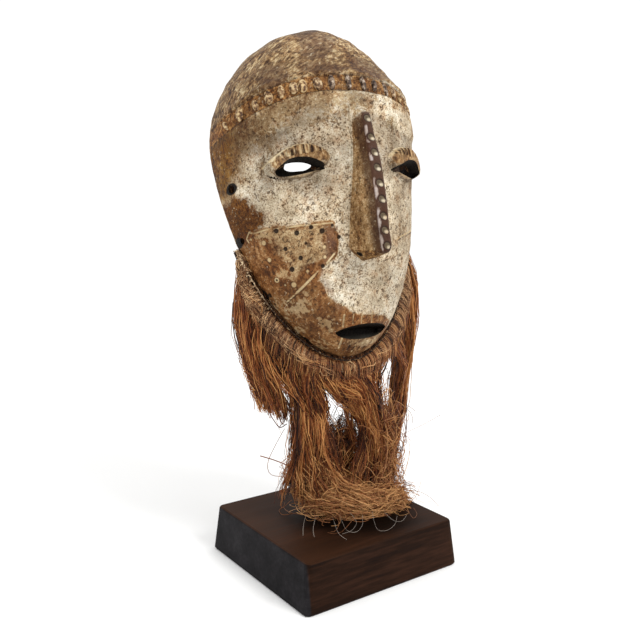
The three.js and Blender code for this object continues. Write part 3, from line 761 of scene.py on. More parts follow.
def eyelid_marks(x, z, front):
    """Brown upper lids with their cuts, painted shade in the cuts and painted highlights between them, the
    duller lower lids, and the lines round both
    """
    near = np.full(x.shape, FAR)
    for at, wide in LID_CUTS:
        near = np.minimum(near, np.abs(x - cut_line(at, z)) / wide)
    reach = lid_reach(x, z)
    cuts = front & (reach < 0.97) & (z > EYE_UP + 2.0)
    lids = step(1.03, 0.84, reach) * np.where(front, 1.0, 0.0)
    lower = step(EYE_UP - 2.0, EYE_UP - 5.5, z)
    return {"lid": lids * (1 - lower), "lower_lid": lids * lower, "lid_cut_painted_shade": np.where(cuts, near, FAR),
            "lid_painted_highlight": np.where(cuts, np.abs(near - 2.3), FAR),
            "lid_crest": np.where(front & (z > EYE_UP + 1), np.abs(reach - 0.97), 9.0),
            "lid_crease": np.where(front & (z < EYE_UP - 3), np.abs(reach - 0.96), 9.0)}


def mark_mask(points):
    """Numbers on each point of the carved mask that steer its finish"""
    x, y, z = points.T
    wide = np.maximum(half_width(np.clip(z, 0, MASK_LENGTH)), 1e-3)
    p = power_at(z)
    ahead = np.maximum(0, rim_bow(z) - y)
    full = ((np.abs(x) / wide) ** p + (ahead / np.maximum(depth_at(z), 1e-3)) ** p) ** (1 / p)
    # Depth under the face, near enough, in millimetres
    common_depth = 62
    under = (1 - full) * common_depth
    front = y < rim_bow(z) - 0.4
    ragged = 1.6 * waves(points, 9, 21) + 0.9 * waves(points, 4, 22)
    fields = {name: np.where(front, deepest(x, z, outlines) + ragged, OUTSIDE)
              for name, outlines in PATCHES.items()}
    dragged = points @ np.array([(0.8, 0, -0.24), (0, 1, 0), (0.6, 0, 0.32)])
    fields["smear"] = fields["smear"] + 2.5 * waves(dragged, 4.5, 31) + 1.5 * waves(dragged, 1.9, 32)
    toned = np.zeros(x.shape)
    for share, outline in WASHES:
        toned = np.maximum(toned, share * step(-5, 5, inside_outline(x, z, outline) + 1.5 * ragged))
    fields["toned"] = np.where(front, toned, 0.0)
    off = z - band_height(x)
    fields["crown"] = np.where(front, step(5, 8, off), 0.0)
    fields["channel"] = np.where(front, BAND_HALF - np.abs(off - band_waver(x, z)), OUTSIDE)
    # Painted shadow along both edges of the sunk band, under the overhang of the crown
    fields["band_edge_painted_shadow"] = np.where(front, np.abs(fields["channel"]), FAR)
    fields["clay"] = np.where(front, ground_clay(x, z, fields["bare"]), 0.25 - 0.6 * step(14, 9, z))
    # Depth inside the eyes and the mouth, painted near black there as painted shade, and under the face
    # elsewhere
    eye = front & (inside_outline(np.abs(x), z, EYE_OPENING) > -0.12)
    mouth = front & (inside_outline(x, z, LIPS) > -0.12)
    sunk = np.where(mouth, np.clip(under + 1.8, 1.8, 9), -9)
    fields["sunk"] = sunk = np.where(eye, np.clip(under + 4.5, 1.8, 9), sunk)
    # Painted light: the lower wall inside the mouth made greyer, where light reaches it
    fields["lip_floor_painted_light"] = np.where(mouth & (under > 0.6), step(15.0, 10.5, z), 0.0)
    fields["under"] = np.where((front | (under > 3)) & (sunk < 0), under, 0.0)
    # Painted shadow: a dark line along the lower rim, for the shadowed gap between the rim and the cord
    rim_gap_painted_shadow = (half_width(np.clip(z, 0, MASK_LENGTH)) - np.abs(x)) * 0.8 + np.abs(rim_bow(z) - y) * 0.55
    fields["rim_gap_painted_shadow"] = np.where(front & (z < 92), rim_gap_painted_shadow, 9.0)
    scars = np.full(x.shape, FAR)
    for middle, low, top, faint in SCARS:
        past_end = np.maximum(0, np.maximum(low - z, z - top))
        scars = np.minimum(scars, np.hypot(x - middle, past_end) + faint)
    fields["scar"] = np.where(front, scars, FAR)
    fields["disc"], fields["hole"] = from_spots(points, LIGHT_DISCS), from_spots(points, DARK_PITS)
    fields["lace_hole"] = np.where(front, from_spots(points, LACE_HOLES), FAR)
    for name, lines in (("pale_line", LIGHT_LINES), ("dark_line", DARK_LINES)):
        fields[name] = np.where(front, from_lines(points, lines), FAR)
    return {**fields, **nose_marks(points, front, under, ragged), **eyelid_marks(x, z, front)}


local = coordinates(mask.data)
for field, values in mark_mask(local).items():
    note(mask.data, field, values)
note(mask.data, "carving", local * MM)
mask.data.vertices.foreach_set("co", (placed(local) * MM).astype(np.float32).ravel())
mask.data.update()
mask.data.set_sharp_from_angle(angle=math.radians(48))


# Layers of the finish over the ground, from the first to the last: field, where it starts and is full,
# how ragged its edge is, how much it hides, and its colour or the name of its graded tone
LAYERS = [
    ("crown", 0.3, 0.7, 0.0, 0.80, "crown"),
    ("bruise", -1.5, 2.0, 12.0, 0.55, "#5e4639"),
    ("edge", -3.5, 4.0, 15.0, 0.92, "temple"),
    ("bare", -0.8, 1.6, 11.0, 0.92, "bare"),
    ("tan", -1.0, 2.0, 10.0, 0.90, "tan"),
    ("mauve", -0.5, 1.6, 9.0, 0.42, "#6b5043"),
    ("smear", 0.6, 2.0, 17.0, 0.85, "#b49b76"),
    ("soot", -1.5, 1.4, 10.0, 0.97, "soot"),
    # Painted shade at the near temple and under the chin
    ("edge_painted_shade", -2.0, 4.0, 8.0, 0.32, "#4a2f1a"),
    # Painted shade at the outer corner of the near eye
    ("eye_corner_painted_shade", -1.0, 2.6, 7.0, 0.62, "#5f4a2b"),
    # Grey patches; the one along the near brow is painted shade
    ("grey", -3.0, 5.0, 9.0, 0.42, "#8b7e69"),
    # Washes, partly painted shade
    ("toned", 0.0, 1.0, 0.25, 1.0, "#4f3a22"),
    # Painted shadow along the lower rim, in the gap beside the cord
    ("rim_gap_painted_shadow", 1.5, 0.7, 0.8, 0.9, "#1d120a"),
    ("channel", -0.2, 0.7, 2.4, 0.94, "warm"),
    ("flank", 0.2, 0.8, 0.3, 0.94, "flank"),
    ("below", 0.3, 0.7, 0.0, 0.85, "below"),
    ("stain", 0.15, 0.9, 0.9, 0.74, "#38201a"),
    ("strip", 0.3, 0.8, 0.5, 0.9, "#432a1e"),
    # Painted highlight along the ridge strip
    ("ridge_painted_highlight", 0.3, 0.9, 0.7, 0.7, "#cdc3c1"),
    ("pit", 3.1, 2.7, 0.4, 0.85, "#2b1f1a"),
    ("pit", 2.45, 2.1, 0.5, 0.85, "#6b5f4c"),
    # Painted highlight in the lower right of each pit
    ("pit_painted_highlight", 1.85, 1.1, 0.7, 0.9, "#ddd2bb"),
    # Painted shadow in the upper left of each pit
    ("pit_painted_shadow", 1.5, 0.9, 0.9, 0.9, "#2b2019"),
    ("nostril", 1.25, 0.85, 0.2, 0.97, "#0d0704"),
    ("lid", 0.25, 0.7, 1.5, 0.9, "lid"),
    ("lower_lid", 0.25, 0.7, 1.2, 0.72, "#8b7455"),
    # Painted highlights on the eyelid between the cuts
    ("lid_painted_highlight", 0.8, 0.2, 0.9, 0.85, "#d9c7a2"),
    # Painted shade in the cuts across the eyelid
    ("lid_cut_painted_shade", 1.3, 0.6, 0.6, 0.92, "#22130a"),
    ("lid_crease", 0.06, 0.02, 0.08, 0.75, "#46301d"),
    ("lid_crest", 0.10, 0.04, 0.10, 0.7, "#e2d2ad"),
    # Painted shade: near black deep in the eyes and the mouth
    ("sunk", 0.2, 1.6, 0.3, 0.985, "#0b0704"),
    # Painted light on the lower wall inside the mouth
    ("lip_floor_painted_light", 0.1, 1.0, 0.1, 0.8, "#4c4a43"),
    # Painted shadow along the edges of the band
    ("band_edge_painted_shadow", 0.9, 0.1, 3.6, 0.7, "#2a170c"),
    ("scar", 0.80, 0.30, 0.4, 0.88, "#d0ba92"),
    ("dark_line", 0.35, -0.1, 0.3, 0.75, "#3a2413"),
    ("pale_line", 0.35, -0.1, 0.35, 0.9, "#d2c09a"),
    ("disc", 0.75, 0.15, 0.4, 0.6, "#4f3319"),
    ("disc", 0.15, -0.35, 0.5, 0.88, "#c9b48d"),
    ("hole", 0.45, -0.1, 0.4, 0.94, "#1d1209"),
    # Painted shade: near black in the lace holes
    ("lace_hole", 0.9, 0.3, 0.8, 0.98, "#080504"),
]
# Graded tones, from the hollows of the grit to its tops
GRADES = {
    "wood": [(0.38, "#3f2310"), (0.46, "#603c1d"), (0.54, "#82582f"), (0.64, "#a8824f")],
    "tan": [(0.38, "#57402a"), (0.44, "#8c7050"), (0.52, "#b39a75"), (0.62, "#d9c8a6")],
    "clay": [(0.365, "#43362a"), (0.43, "#948673"), (0.482, "#c3b59e"), (0.548, "#dacfba"),
             (0.625, "#ebe3d2")],
    "crown": [(0.40, "#2e1a0c"), (0.452, "#5c4126"), (0.50, "#856744"), (0.55, "#ad9066"), (0.62, "#e2d0aa")],
    "bare": [(0.38, "#3f2310"), (0.46, "#674121"), (0.54, "#8a5d33"), (0.64, "#bb9669")],
    "soot": [(0.37, "#321500"), (0.47, "#502a02"), (0.60, "#794b0e")],
    "temple": [(0.38, "#3d2306"), (0.46, "#5f3d0c"), (0.54, "#825816"), (0.64, "#ad8a3e")],
    "flank": [(0.37, "#3e2510"), (0.45, "#745430"), (0.53, "#99794f"), (0.63, "#cfb48c")],
    "warm": [(0.37, "#3c1f0d"), (0.46, "#70471f"), (0.54, "#966a38"), (0.64, "#c39d68")],
    "lid": [(0.37, "#341e0e"), (0.46, "#6b4b2b"), (0.54, "#937249"), (0.64, "#cdb78f")],
    "below": [(0.37, "#2c1a0c"), (0.46, "#5c3f22"), (0.54, "#84623a"), (0.64, "#b4935f")],
    "inner": [(0.40, "#22140a"), (0.50, "#412a19"), (0.60, "#61452a")],
}
# Which sizes of grit each tone is made of, and how much of each
MIXES = {
    "wood": {"grain": 0.4, "mottle": 0.3, "blotch": 0.3},
    "tan": {"streak": 0.35, "speck": 0.35, "blotch": 0.3},
    "clay": {"speck": 0.52, "mottle": 0.28, "blotch": 0.20},
    "crown": {"streak": 0.62, "mottle": 0.13, "blotch": 0.25},
    "bare": {"speck": 0.25, "mottle": 0.4, "blotch": 0.35}, "soot": {"mottle": 0.5, "speck": 0.5},
    "temple": {"grain": 0.3, "mottle": 0.35, "blotch": 0.35},
    "flank": {"mottle": 0.4, "speck": 0.3, "blotch": 0.3}, "warm": {"mottle": 0.6, "speck": 0.4},
    "lid": {"mottle": 0.5, "grain": 0.5}, "below": {"mottle": 0.6, "speck": 0.4},
    "inner": {"grain": 0.6, "blotch": 0.4},
}
# Grit of the finish: size in millimetres, detail, stretch and slant in degrees
GRIT = {
    "speck": (1.0, 2.0, (1, 1, 1), 0),          # dark specks in the clay
    "mottle": (2.7, 4.0, (1, 1, 1), 0),         # worn spots
    "blotch": (11.0, 3.0, (1, 1, 1), 0),        # rubbed places the size of a fingertip
    "streak": (1.9, 4.0, (1, 1, 2.5), 58),      # slanting flecks left by rubbing
    "fleck": (1.9, 3.0, (1, 1, 1.7), 40),       # separate crumbs of grime and pale scratches
    "tinge": (8.0, 3.0, (1, 1, 1), 0),          # warmer and cooler places
    "cloud": (24.0, 3.0, (1, 1, 1.4), 30),      # slow change of tone over the whole mask
    "grain": (1.4, 3.0, (1, 1, 14), 0),         # wood grain along the mask
}
# Loose crumbs beside the nose ridge: where they start and are full, how much they hide, and their colour
CRUMBS = [(0.415, 0.365, 0.75, "#3a291b"), (0.64, 0.70, 0.45, "#e0d2b6")]
# Marks that stand out or lie sunk: field, where they start and are full, and their height in millimetres
RAISED = [("disc", 0.2, -0.4, 0.3), ("hole", 0.2, -0.7, -1.4), ("pale_line", 0.3, -0.3, 0.3),
          ("dark_line", 0.3, -0.3, -0.6), ("scar", 0.7, 0.2, 0.35)]
# Slow changes of shade and of warmth over everything
SHADES = [(0.36, "#c9bdae"), (0.5, "#f0eae1"), (0.60, "#ffffff")]
TINGES = [(0.36, "#d8b48f"), (0.44, "#f8f0e4"), (0.54, "#ffffff"), (0.64, "#d4d4ce")]


def grit_of(tree, where):
    """Each size of grit as a pattern, and each tone as a ramp over its mix of them"""
    grit, blend = {}, {}
    for name, (size, detail, stretch, slant) in GRIT.items():
        turned = add(tree, "ShaderNodeMapping", {"Vector": where, "Rotation": (0, math.radians(slant), 0),
                                                 "Scale": stretch}, vector_type="TEXTURE")
        pattern = {"Vector": turned, "Scale": 1 / (size * MM), "Detail": detail, "Roughness": 0.62}
        grit[name] = add(tree, "ShaderNodeTexNoise", pattern).outputs["Fac"]
    for name, shares in MIXES.items():
        total = 0.0
        for kind, share in shares.items():
            total = add(tree, "ShaderNodeMath", {0: grit[kind], 1: share, 2: total}, operation="MULTIPLY_ADD")
        blend[name] = add(tree, "ShaderNodeValToRGB", {0: total}, stops=GRADES[name])
    return grit, blend


def crumbs_over(tree, tone, grit):
    """Loose crumbs of grime and of clay over a tone, thicker in some places than in others"""
    for start, full, hides, crumb in CRUMBS:
        near = add(tree, "ShaderNodeMath", {0: grit["tinge"], 1: 0.3, 2: -0.15}, operation="MULTIPLY_ADD")
        near = add(tree, "ShaderNodeMath", {0: near, 1: grit["fleck"]}, operation="ADD")
        span = {"Value": near, "From Min": start, "From Max": full, "To Max": hides}
        share = add(tree, "ShaderNodeMapRange", span)
        tone = add(tree, "ShaderNodeMix", {0: share, 6: tone, 7: crumb}, data_type="RGBA")
    return tone


def clay_rubbed_wood():
    """Old carved wood rubbed with pale clay: worn, speckled and darker where hands have polished it"""
    made, tree, surface = material("clay_rubbed_wood")
    where = add(tree, "ShaderNodeAttribute", attribute_name="carving").outputs["Vector"]
    names = [layer[0] for layer in LAYERS] + ["clay", "under"]
    field = {name: add(tree, "ShaderNodeAttribute", attribute_name=name).outputs["Fac"] for name in names}
    grit, blend = grit_of(tree, where)
    # Ground: bare wood, then thin clay, then thick
    cover = field["clay"]
    for size in ("blotch", "mottle"):
        cover = add(tree, "ShaderNodeMath", {0: grit[size], 1: 0.9, 2: cover}, operation="MULTIPLY_ADD")
    thin = add(tree, "ShaderNodeMapRange", {"Value": cover, "From Min": 1.08, "From Max": 1.32})
    thick = add(tree, "ShaderNodeMapRange", {"Value": cover, "From Min": 1.38, "From Max": 1.60})
    tone = blend["wood"]
    for share, over in ((thin, "tan"), (thick, "clay")):
        tone = add(tree, "ShaderNodeMix", {0: share, 6: tone, 7: blend[over]}, data_type="RGBA")
    for name, low, high, ragged, most, tint in LAYERS:
        if name == "strip":
            tone = crumbs_over(tree, tone, grit)
        edge = {0: grit["mottle"], 1: ragged, 2: field[name]}
        edge = add(tree, "ShaderNodeMath", edge, operation="MULTIPLY_ADD")
        middle = ragged * 0.5
        share = add(tree, "ShaderNodeMapRange", {"Value": edge, "From Min": low + middle,
                                                 "From Max": high + middle, "To Max": most})
        tone = add(tree, "ShaderNodeMix", {0: share, 6: tone, 7: blend.get(tint, tint)}, data_type="RGBA")
    inside = add(tree, "ShaderNodeMapRange", {"Value": field["under"], "From Min": 0.7, "From Max": 2.2})
    tone = add(tree, "ShaderNodeMix", {0: inside, 6: tone, 7: blend["inner"]}, data_type="RGBA")
    for size, stops, share in (("cloud", SHADES, 0.85), ("tinge", TINGES, 0.5)):
        veil = add(tree, "ShaderNodeValToRGB", {0: grit[size]}, stops=stops)
        tone = {0: share, 6: tone, 7: veil}
        tone = add(tree, "ShaderNodeMix", tone, data_type="RGBA", blend_type="MULTIPLY")
    # Chalky where the clay is thick, polished on the ridge strip
    rough = add(tree, "ShaderNodeMath", {0: thick, 1: 0.24, 2: 0.56}, operation="MULTIPLY_ADD")
    rough = add(tree, "ShaderNodeMath", {0: field["strip"], 1: -0.26, 2: rough}, operation="MULTIPLY_ADD")
    rough = add(tree, "ShaderNodeMath", {0: rough, 1: 0.3}, operation="MAXIMUM")
    # Relief finer than the mesh
    rise = add(tree, "ShaderNodeMath", {0: grit["speck"], 1: 0.45}, operation="MULTIPLY")
    for size, much in (("streak", 0.45), ("mottle", 0.9)):
        rise = add(tree, "ShaderNodeMath", {0: grit[size], 1: much, 2: rise}, operation="MULTIPLY_ADD")
    for name, low, high, height in RAISED:
        span = {"Value": field[name], "From Min": low, "From Max": high, "To Max": height}
        raised = add(tree, "ShaderNodeMapRange", span)
        rise = add(tree, "ShaderNodeMath", {0: rise, 1: raised}, operation="ADD")
    bump = add(tree, "ShaderNodeBump", {"Strength": 0.85, "Distance": 0.9 * MM, "Height": rise})
    feed(tree, surface, {"Base Color": tone, "Roughness": rough, "Specular IOR Level": 0.13, "Normal": bump})
    return made


dress(mask, clay_rubbed_wood())
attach(mask, "root")
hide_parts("mask")


# Camera, light and floor

def set_stage():
    scene = bpy.context.scene
    scene.view_settings.view_transform = "Standard"
    lens = bpy.data.cameras.new("camera")
    lens.sensor_width, lens.lens = SENSOR, FOCAL_PIXELS / PHOTO_PIXELS * SENSOR
    camera = object_of("camera", lens)
    camera.location = VIEW_FROM
    camera.rotation_euler = (math.radians(90 - VIEW_DOWN), 0, math.radians(VIEW_TURN))
    scene.camera = camera
    world = bpy.data.worlds.new("white_room")
    world.use_nodes = True
    feed(world.node_tree, world.node_tree.nodes["Background"], {0: (1, 1, 1, 1), 1: 1.08})
    scene.world = world
    for name, place, aim, size, power in (
            ("key_softbox", (0.35, -1.35, 1.45), (0, 0, 0.22), 0.6, 18),
            ("side_softbox", (-1.5, -0.9, 0.9), (0, 0, 0.25), 1.0, 2.2)):
        light = bpy.data.lights.new(name, "AREA")
        light.shape, light.size, light.energy = "SQUARE", size, power
        lamp = object_of(name, light)
        lamp.location = place
        lamp.rotation_euler = (Vector(aim) - Vector(place)).to_track_quat("-Z", "Y").to_euler()
    reach, sunk = 4, 0.0002
    corners = [(x * reach, y * reach, -sunk) for x, y in ((-1, -1), (1, -1), (1, 1), (-1, 1))]
    floor = mesh_of("floor", corners, [(0, 1, 2, 3)])
    made, tree, surface = material("white_paper_sweep")
    spot = add(tree, "ShaderNodeTexCoord").outputs["Object"]
    fibre = add(tree, "ShaderNodeTexNoise", {"Vector": spot, "Scale": 90 / DECIMETRE})
    shade = add(tree, "ShaderNodeValToRGB", {0: fibre}, stops=[(0.3, "#f9f9f8"), (0.7, "#fbfbfa")])
    feed(tree, surface, {"Base Color": shade, "Roughness": 0.95, "Specular IOR Level": 0.0})
    floor.data.materials.append(made)


set_stage()


# Pegs in the forehead band

def peg_finish():
    """Hardwood pegs mottled pale and dark, the middle ones a greyer copy as painted sheen"""
    made, tree, surface = material("rubbed_peg_wood")
    where = add(tree, "ShaderNodeTexCoord").outputs["Object"]
    grit = add(tree, "ShaderNodeTexNoise", {"Vector": where, "Scale": 48 / DECIMETRE, "Detail": 4})
    tone = add(tree, "ShaderNodeAttribute", attribute_name="tone").outputs["Fac"]
    pale = add(tree, "ShaderNodeValToRGB", {0: grit}, stops=[(0.38, "#3f2611"), (0.48, "#7f5d37"),
                                                             (0.60, "#c2a87c")])
    # Painted sheen: a greyer copy of the wood for the polished middle pegs
    grey = add(tree, "ShaderNodeValToRGB", {0: grit}, stops=[(0.38, "#241a15"), (0.5, "#5c4c42"),
                                                             (0.62, "#a3968c")])
    mixed = add(tree, "ShaderNodeMix", {0: tone, 6: pale, 7: grey}, data_type="RGBA")
    bump = add(tree, "ShaderNodeBump", {"Strength": 0.9, "Distance": 0.6 * MM, "Height": grit})
    feed(tree, surface, {"Base Color": mixed, "Roughness": 0.55, "Specular IOR Level": 0.3, "Normal": bump})
    return made


# Pegs across the band; on the far side they are smaller and half buried
PEG_PLACES = [-71.2, -66.5, -60, -53.5, -47, -40, -34.8, -25.5, -16.2, -4, 7, 16.2, 26, 34.5, 42, 49.5, 56.5,
              63, 69]


def band_pegs():
    rng = np.random.default_rng(11)
    aims, sizes, places, tones = [], [], [], []
    lean, turn = (np.array(Euler(angles).to_matrix()) for angles in ((LEAN, 0, 0), (0, 0, TURN)))
    for x in PEG_PLACES:
        z = float(band_height(x)) + rng.uniform(-0.4, 0.4)
        foot = on_face(x, z)
        out = on_face(x, z, 1.0) - foot
        up = on_face(x, z + 1) - foot
        up -= out * up.dot(out)
        up /= np.linalg.norm(up)
        up = up + np.cross(out, up) * rng.uniform(-0.2, 0.2)
        up /= np.linalg.norm(up)
        own = np.array([np.cross(up, out), -out, up]).T
        aims.append(tuple(Matrix((turn @ lean @ own).tolist()).to_euler()))
        # Tone picks the greyer painted sheen for the middle pegs
        tones.append(float(step(-34, -10, x) * step(40, 22, x) * 0.8 + rng.uniform(0, 0.2)))
        bold = 1 - 0.35 * float(step(18, 30, x))
        wide, tall = 2.5 * rng.uniform(0.6, 1.3) * bold, 5.2 * rng.uniform(0.8, 1.1)
        sizes.append(np.array([wide, 2.2 * bold, tall]) * MM)
        places.append(placed(on_face(x, z, -0.9)) * MM)
    seeds = mesh_of("band_pegs", places, [])
    for name, values in (("aim", aims), ("size", sizes), ("tone", tones)):
        note(seeds.data, name, values)

    def build(group, start):
        form = add(group, "GeometryNodeMeshUVSphere", {"Segments": start.outputs["Sides"],
                                                       "Rings": start.outputs["Rings"], "Radius": 1.0})
        aim, size = (add(group, "GeometryNodeInputNamedAttribute", {"Name": name}, data_type="FLOAT_VECTOR")
                     for name in ("aim", "size"))
        turned = add(group, "FunctionNodeEulerToRotation", {0: aim})
        smooth = add(group, "GeometryNodeSetShadeSmooth", {"Geometry": form})
        pegs = {"Points": start.outputs["Geometry"], "Rotation": turned, "Instance": smooth, "Scale": size}
        return add(group, "GeometryNodeInstanceOnPoints", pegs).outputs[0]
    return grown(seeds, "pegs_along_band", peg_finish(), {"Sides": 14, "Rings": 10}, build)


pegs = band_pegs()
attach(pegs, "root")


# Raffia beard

# Guide strands of each flow of fibre: height up the rim they leave from (left side negative), points in
# millimetres that they run through, and how deep the flow is at each of those
FLOWS = {
    "left": ([
        (-79, [(-60.7, 19.7, 216), (-61.7, 18.7, 192), (-63.2, 18, 169), (-59, 15.6, 146),
             (-56, 13.3, 128), (-51, 13, 116)]),
        (-72, [(-58.7, 18.7, 206), (-60.7, 17.7, 188), (-60.2, 17, 168), (-57, 14.6, 146),
             (-52, 13.3, 129), (-46, 13, 116)]),
        (-66, [(-56.7, 16.7, 196), (-58.7, 15.7, 182), (-58.2, 15, 165), (-54, 13.6, 145),
             (-48, 12.3, 127), (-42, 12, 112)]),
        (-58, [(-53.7, 13.7, 187), (-55.7, 13.7, 176), (-55.2, 13, 161), (-51, 11.6, 143),
             (-45, 11.3, 125), (-38, 12, 109)]),
        (-52, [(-50.7, 11.7, 179), (-53.7, 11.7, 168), (-52.2, 11, 155), (-47.8, 11.2, 139),
             (-41.4, 10.6, 122), (-34.5, 10.7, 106)]),
        (-47, [(-47.7, 9.7, 172), (-51.7, 9.7, 163), (-50, 10.6, 151), (-44, 11, 134),
             (-37.9, 9.9, 119), (-32.8, 9.1, 104)]),
    ], [3.5, 6, 6.5, 6.5, 6, 3]),
    "main": ([
        (-46, [(-52, 7, 173), (-52.2, 5.4, 160), (-42.4, 3.8, 147), (-33.3, 2.1, 134), (-28.4, 0.4, 119),
               (-29.3, -0.6, 102), (-31.1, -1, 84), (-31.1, 2, 67), (-29.4, 8.8, 53)]),
        (-40, [(-46, 4, 165), (-45.6, 3.7, 153), (-36.8, 3.1, 140), (-30, 1.5, 128), (-26.2, 0, 116),
               (-27.5, -0.7, 100), (-27.1, -1, 83), (-25.1, 2, 66), (-22.4, 4.8, 51)]),
        (-34, [(-39, 1, 158), (-38, 1, 146), (-31.6, 1.7, 134), (-25.8, 1.1, 123), (-23, -0.4, 112),
             (-23.5, -1.7, 98), (-23.1, -1, 81), (-19.1, 0, 64), (-14.4, -0.2, 50)]),
        (-27, [(-33, -3, 153), (-32, -3, 141), (-25.6, -2.3, 130), (-21.8, -1.9, 119), (-19, -1.4, 108),
             (-19.5, -1.7, 94), (-17.1, -1, 78), (-11.1, -1, 62), (-3.4, -4.2, 48)]),
        (-20, [(-28, -8, 149), (-27, -8, 138), (-22.6, -6.3, 127), (-16.8, -3.9, 116), (-15, -2.4, 106),
             (-14.5, -1.7, 92), (-11.1, -1, 76), (-2.1, -2, 60), (10.6, -7.2, 46)]),
        (-13, [(-23, -12, 145), (-22, -11, 135), (-16.6, -8.3, 124), (-11.8, -4.9, 113),
             (-9, -2.4, 102), (-8.5, -1.7, 88), (-5.1, -1, 73), (7.9, -3, 58), (24.6, -9.2, 44)]),
    ], [3, 4, 5, 5, 4.5, 4.5, 5, 6.5, 8]),
    "cross": ([
        (-24, [(-27, -9, 150), (-22, -12, 139), (-11, -13, 128), (2, -12, 117), (13, -9, 108),
             (20, -6, 96), (23, -3, 84), (20, -2, 72), (13, -4, 63), (7, -6, 55)]),
        (-15, [(-17, -14, 146), (-10, -16, 136), (-1, -15, 127), (10, -12, 118), (19, -8, 108),
             (27, -5, 97), (29, -3, 84), (27, -2, 70), (20, -5, 60), (14, -7, 53)]),
        (-6, [(-10, -17, 143), (-4, -17, 135), (4, -16, 129), (14, -12, 120), (24, -8, 112),
             (33, -4, 99), (38, -2, 84), (38, -1, 68), (33, -4, 56), (27, -6, 48)]),
    ], [2.5, 3, 3, 3, 3, 3.5, 4, 4.5, 5, 6]),
    "chin": ([
        (-4, [(-5, -17, 142), (0, -16, 134), (6, -14, 126), (13, -12, 118), (20, -9, 109), (30, -5, 96),
             (39, -2, 82), (44, 0, 67), (48, 1, 52), (48, -2, 42)]),
        (6, [(8, -16, 140), (10, -15, 132), (14, -13, 124), (18, -11, 115), (24, -8, 106), (30, -4, 96),
             (33, -1, 81), (31, 0, 68), (25, -2, 56), (19, -5, 49)]),
        (15, [(18, -15, 143), (20, -13, 134), (21, -11, 124), (25, -9, 115), (30, -6, 106), (38, -2, 93),
             (45, 0, 79), (50, 2, 65), (52, 2, 51), (53, 0, 40)]),
        (24, [(30, -13, 146), (30, -11, 136), (29, -9, 126), (31, -7, 115), (37, -4, 104), (46, 0, 91),
             (54, 2, 77), (58, 3, 63), (59, 3, 49), (59, 1, 38)]),
    ], [2.5, 3, 3, 3, 3, 3.5, 4, 4.5, 5, 6]),
    "right": ([
        (36, [(45.4, -4.8, 153), (59.6, 0.7, 137), (64.3, 5.6, 122), (64.5, 8.1, 107), (60.1, 9.4, 94),
             (55.7, 9.8, 81), (51.7, 9.8, 67), (49.1, 8.4, 51), (46.8, 5.3, 41)]),
        (46, [(54.4, 0.2, 159), (63.6, 4.7, 141), (65.3, 8.6, 124), (65.5, 10.1, 108), (65.1, 11.4, 93),
             (62.7, 11.8, 79), (57.7, 10.8, 66), (53.1, 8.4, 50), (51.8, 5.3, 39)]),
        (58, [(66.4, 6.2, 169), (71.6, 9.7, 147), (72.3, 11.6, 127), (70.5, 12.1, 108),
             (70.1, 13.4, 92), (66.7, 12.8, 78), (61.7, 11.8, 65), (58.1, 9.4, 48), (56.8, 6.3, 37)]),
        (70, [(76.4, 9.2, 183), (79.6, 12.7, 157), (78.3, 14.6, 134), (75.5, 15.1, 110),
             (73.1, 14.4, 93), (69.7, 13.8, 77), (64.7, 12.8, 62), (60.1, 10.4, 46), (59.8, 7.3, 35)]),
        (79, [(83.4, 12.2, 200), (85.6, 14.7, 174), (82.3, 15.6, 145), (78.5, 15.1, 117),
             (75.1, 14.4, 96), (71.7, 13.8, 77), (67.7, 12.8, 61), (62.1, 10.4, 45), (61.8, 7.3, 34)]),
    ], [3, 4, 4, 4, 3.5, 3.5, 4, 5.5, 8]),
    "tangle": ([
        (0, [(4, 17, 92), (5, 16, 80), (5, 15, 68), (4, 13, 54), (2, 12, 40)]),
        (0, [(17, 17, 97), (17, 16, 83), (17, 15, 69), (16, 13, 55), (15, 11, 40)]),
        (0, [(29, 17, 103), (29, 16, 88), (28, 15, 72), (27, 13, 57), (26, 10, 42)]),
    ], [3, 5, 6, 6, 6]),
    "heap": ([
        (0, [(-33.1, -1, 83), (-33.1, 3, 68), (-25.5, 9.3, 53), (-20.2, 3.4, 44), (-8, -11, 40),
             (12, -20, 36), (31.8, -25.1, 35), (42.7, -27.7, 34)]),
        (0, [(-26.1, -1, 83), (-24.1, 2, 68), (-16.5, 2.3, 55), (-8.2, -3.6, 47), (5, -12, 42),
             (24, -18, 38), (42.8, -20.1, 37), (50.7, -24.7, 35)]),
        (0, [(-17.1, 0, 83), (-14.1, 0, 69), (-7.5, -2.7, 57), (4.8, -5.6, 49), (20, -9, 43),
             (39, -12, 39), (52.8, -13.1, 37), (56.7, -19.7, 35)]),
        (0, [(-7.1, 0, 81), (-1.1, -1, 68), (8.5, -2.7, 58), (19.8, -4.6, 50), (35, -6, 45),
             (50, -8, 41), (58.8, -10.1, 38), (61.7, -15.7, 35)]),
    ], [7, 8, 9, 9, 8, 8, 7, 5]),
}
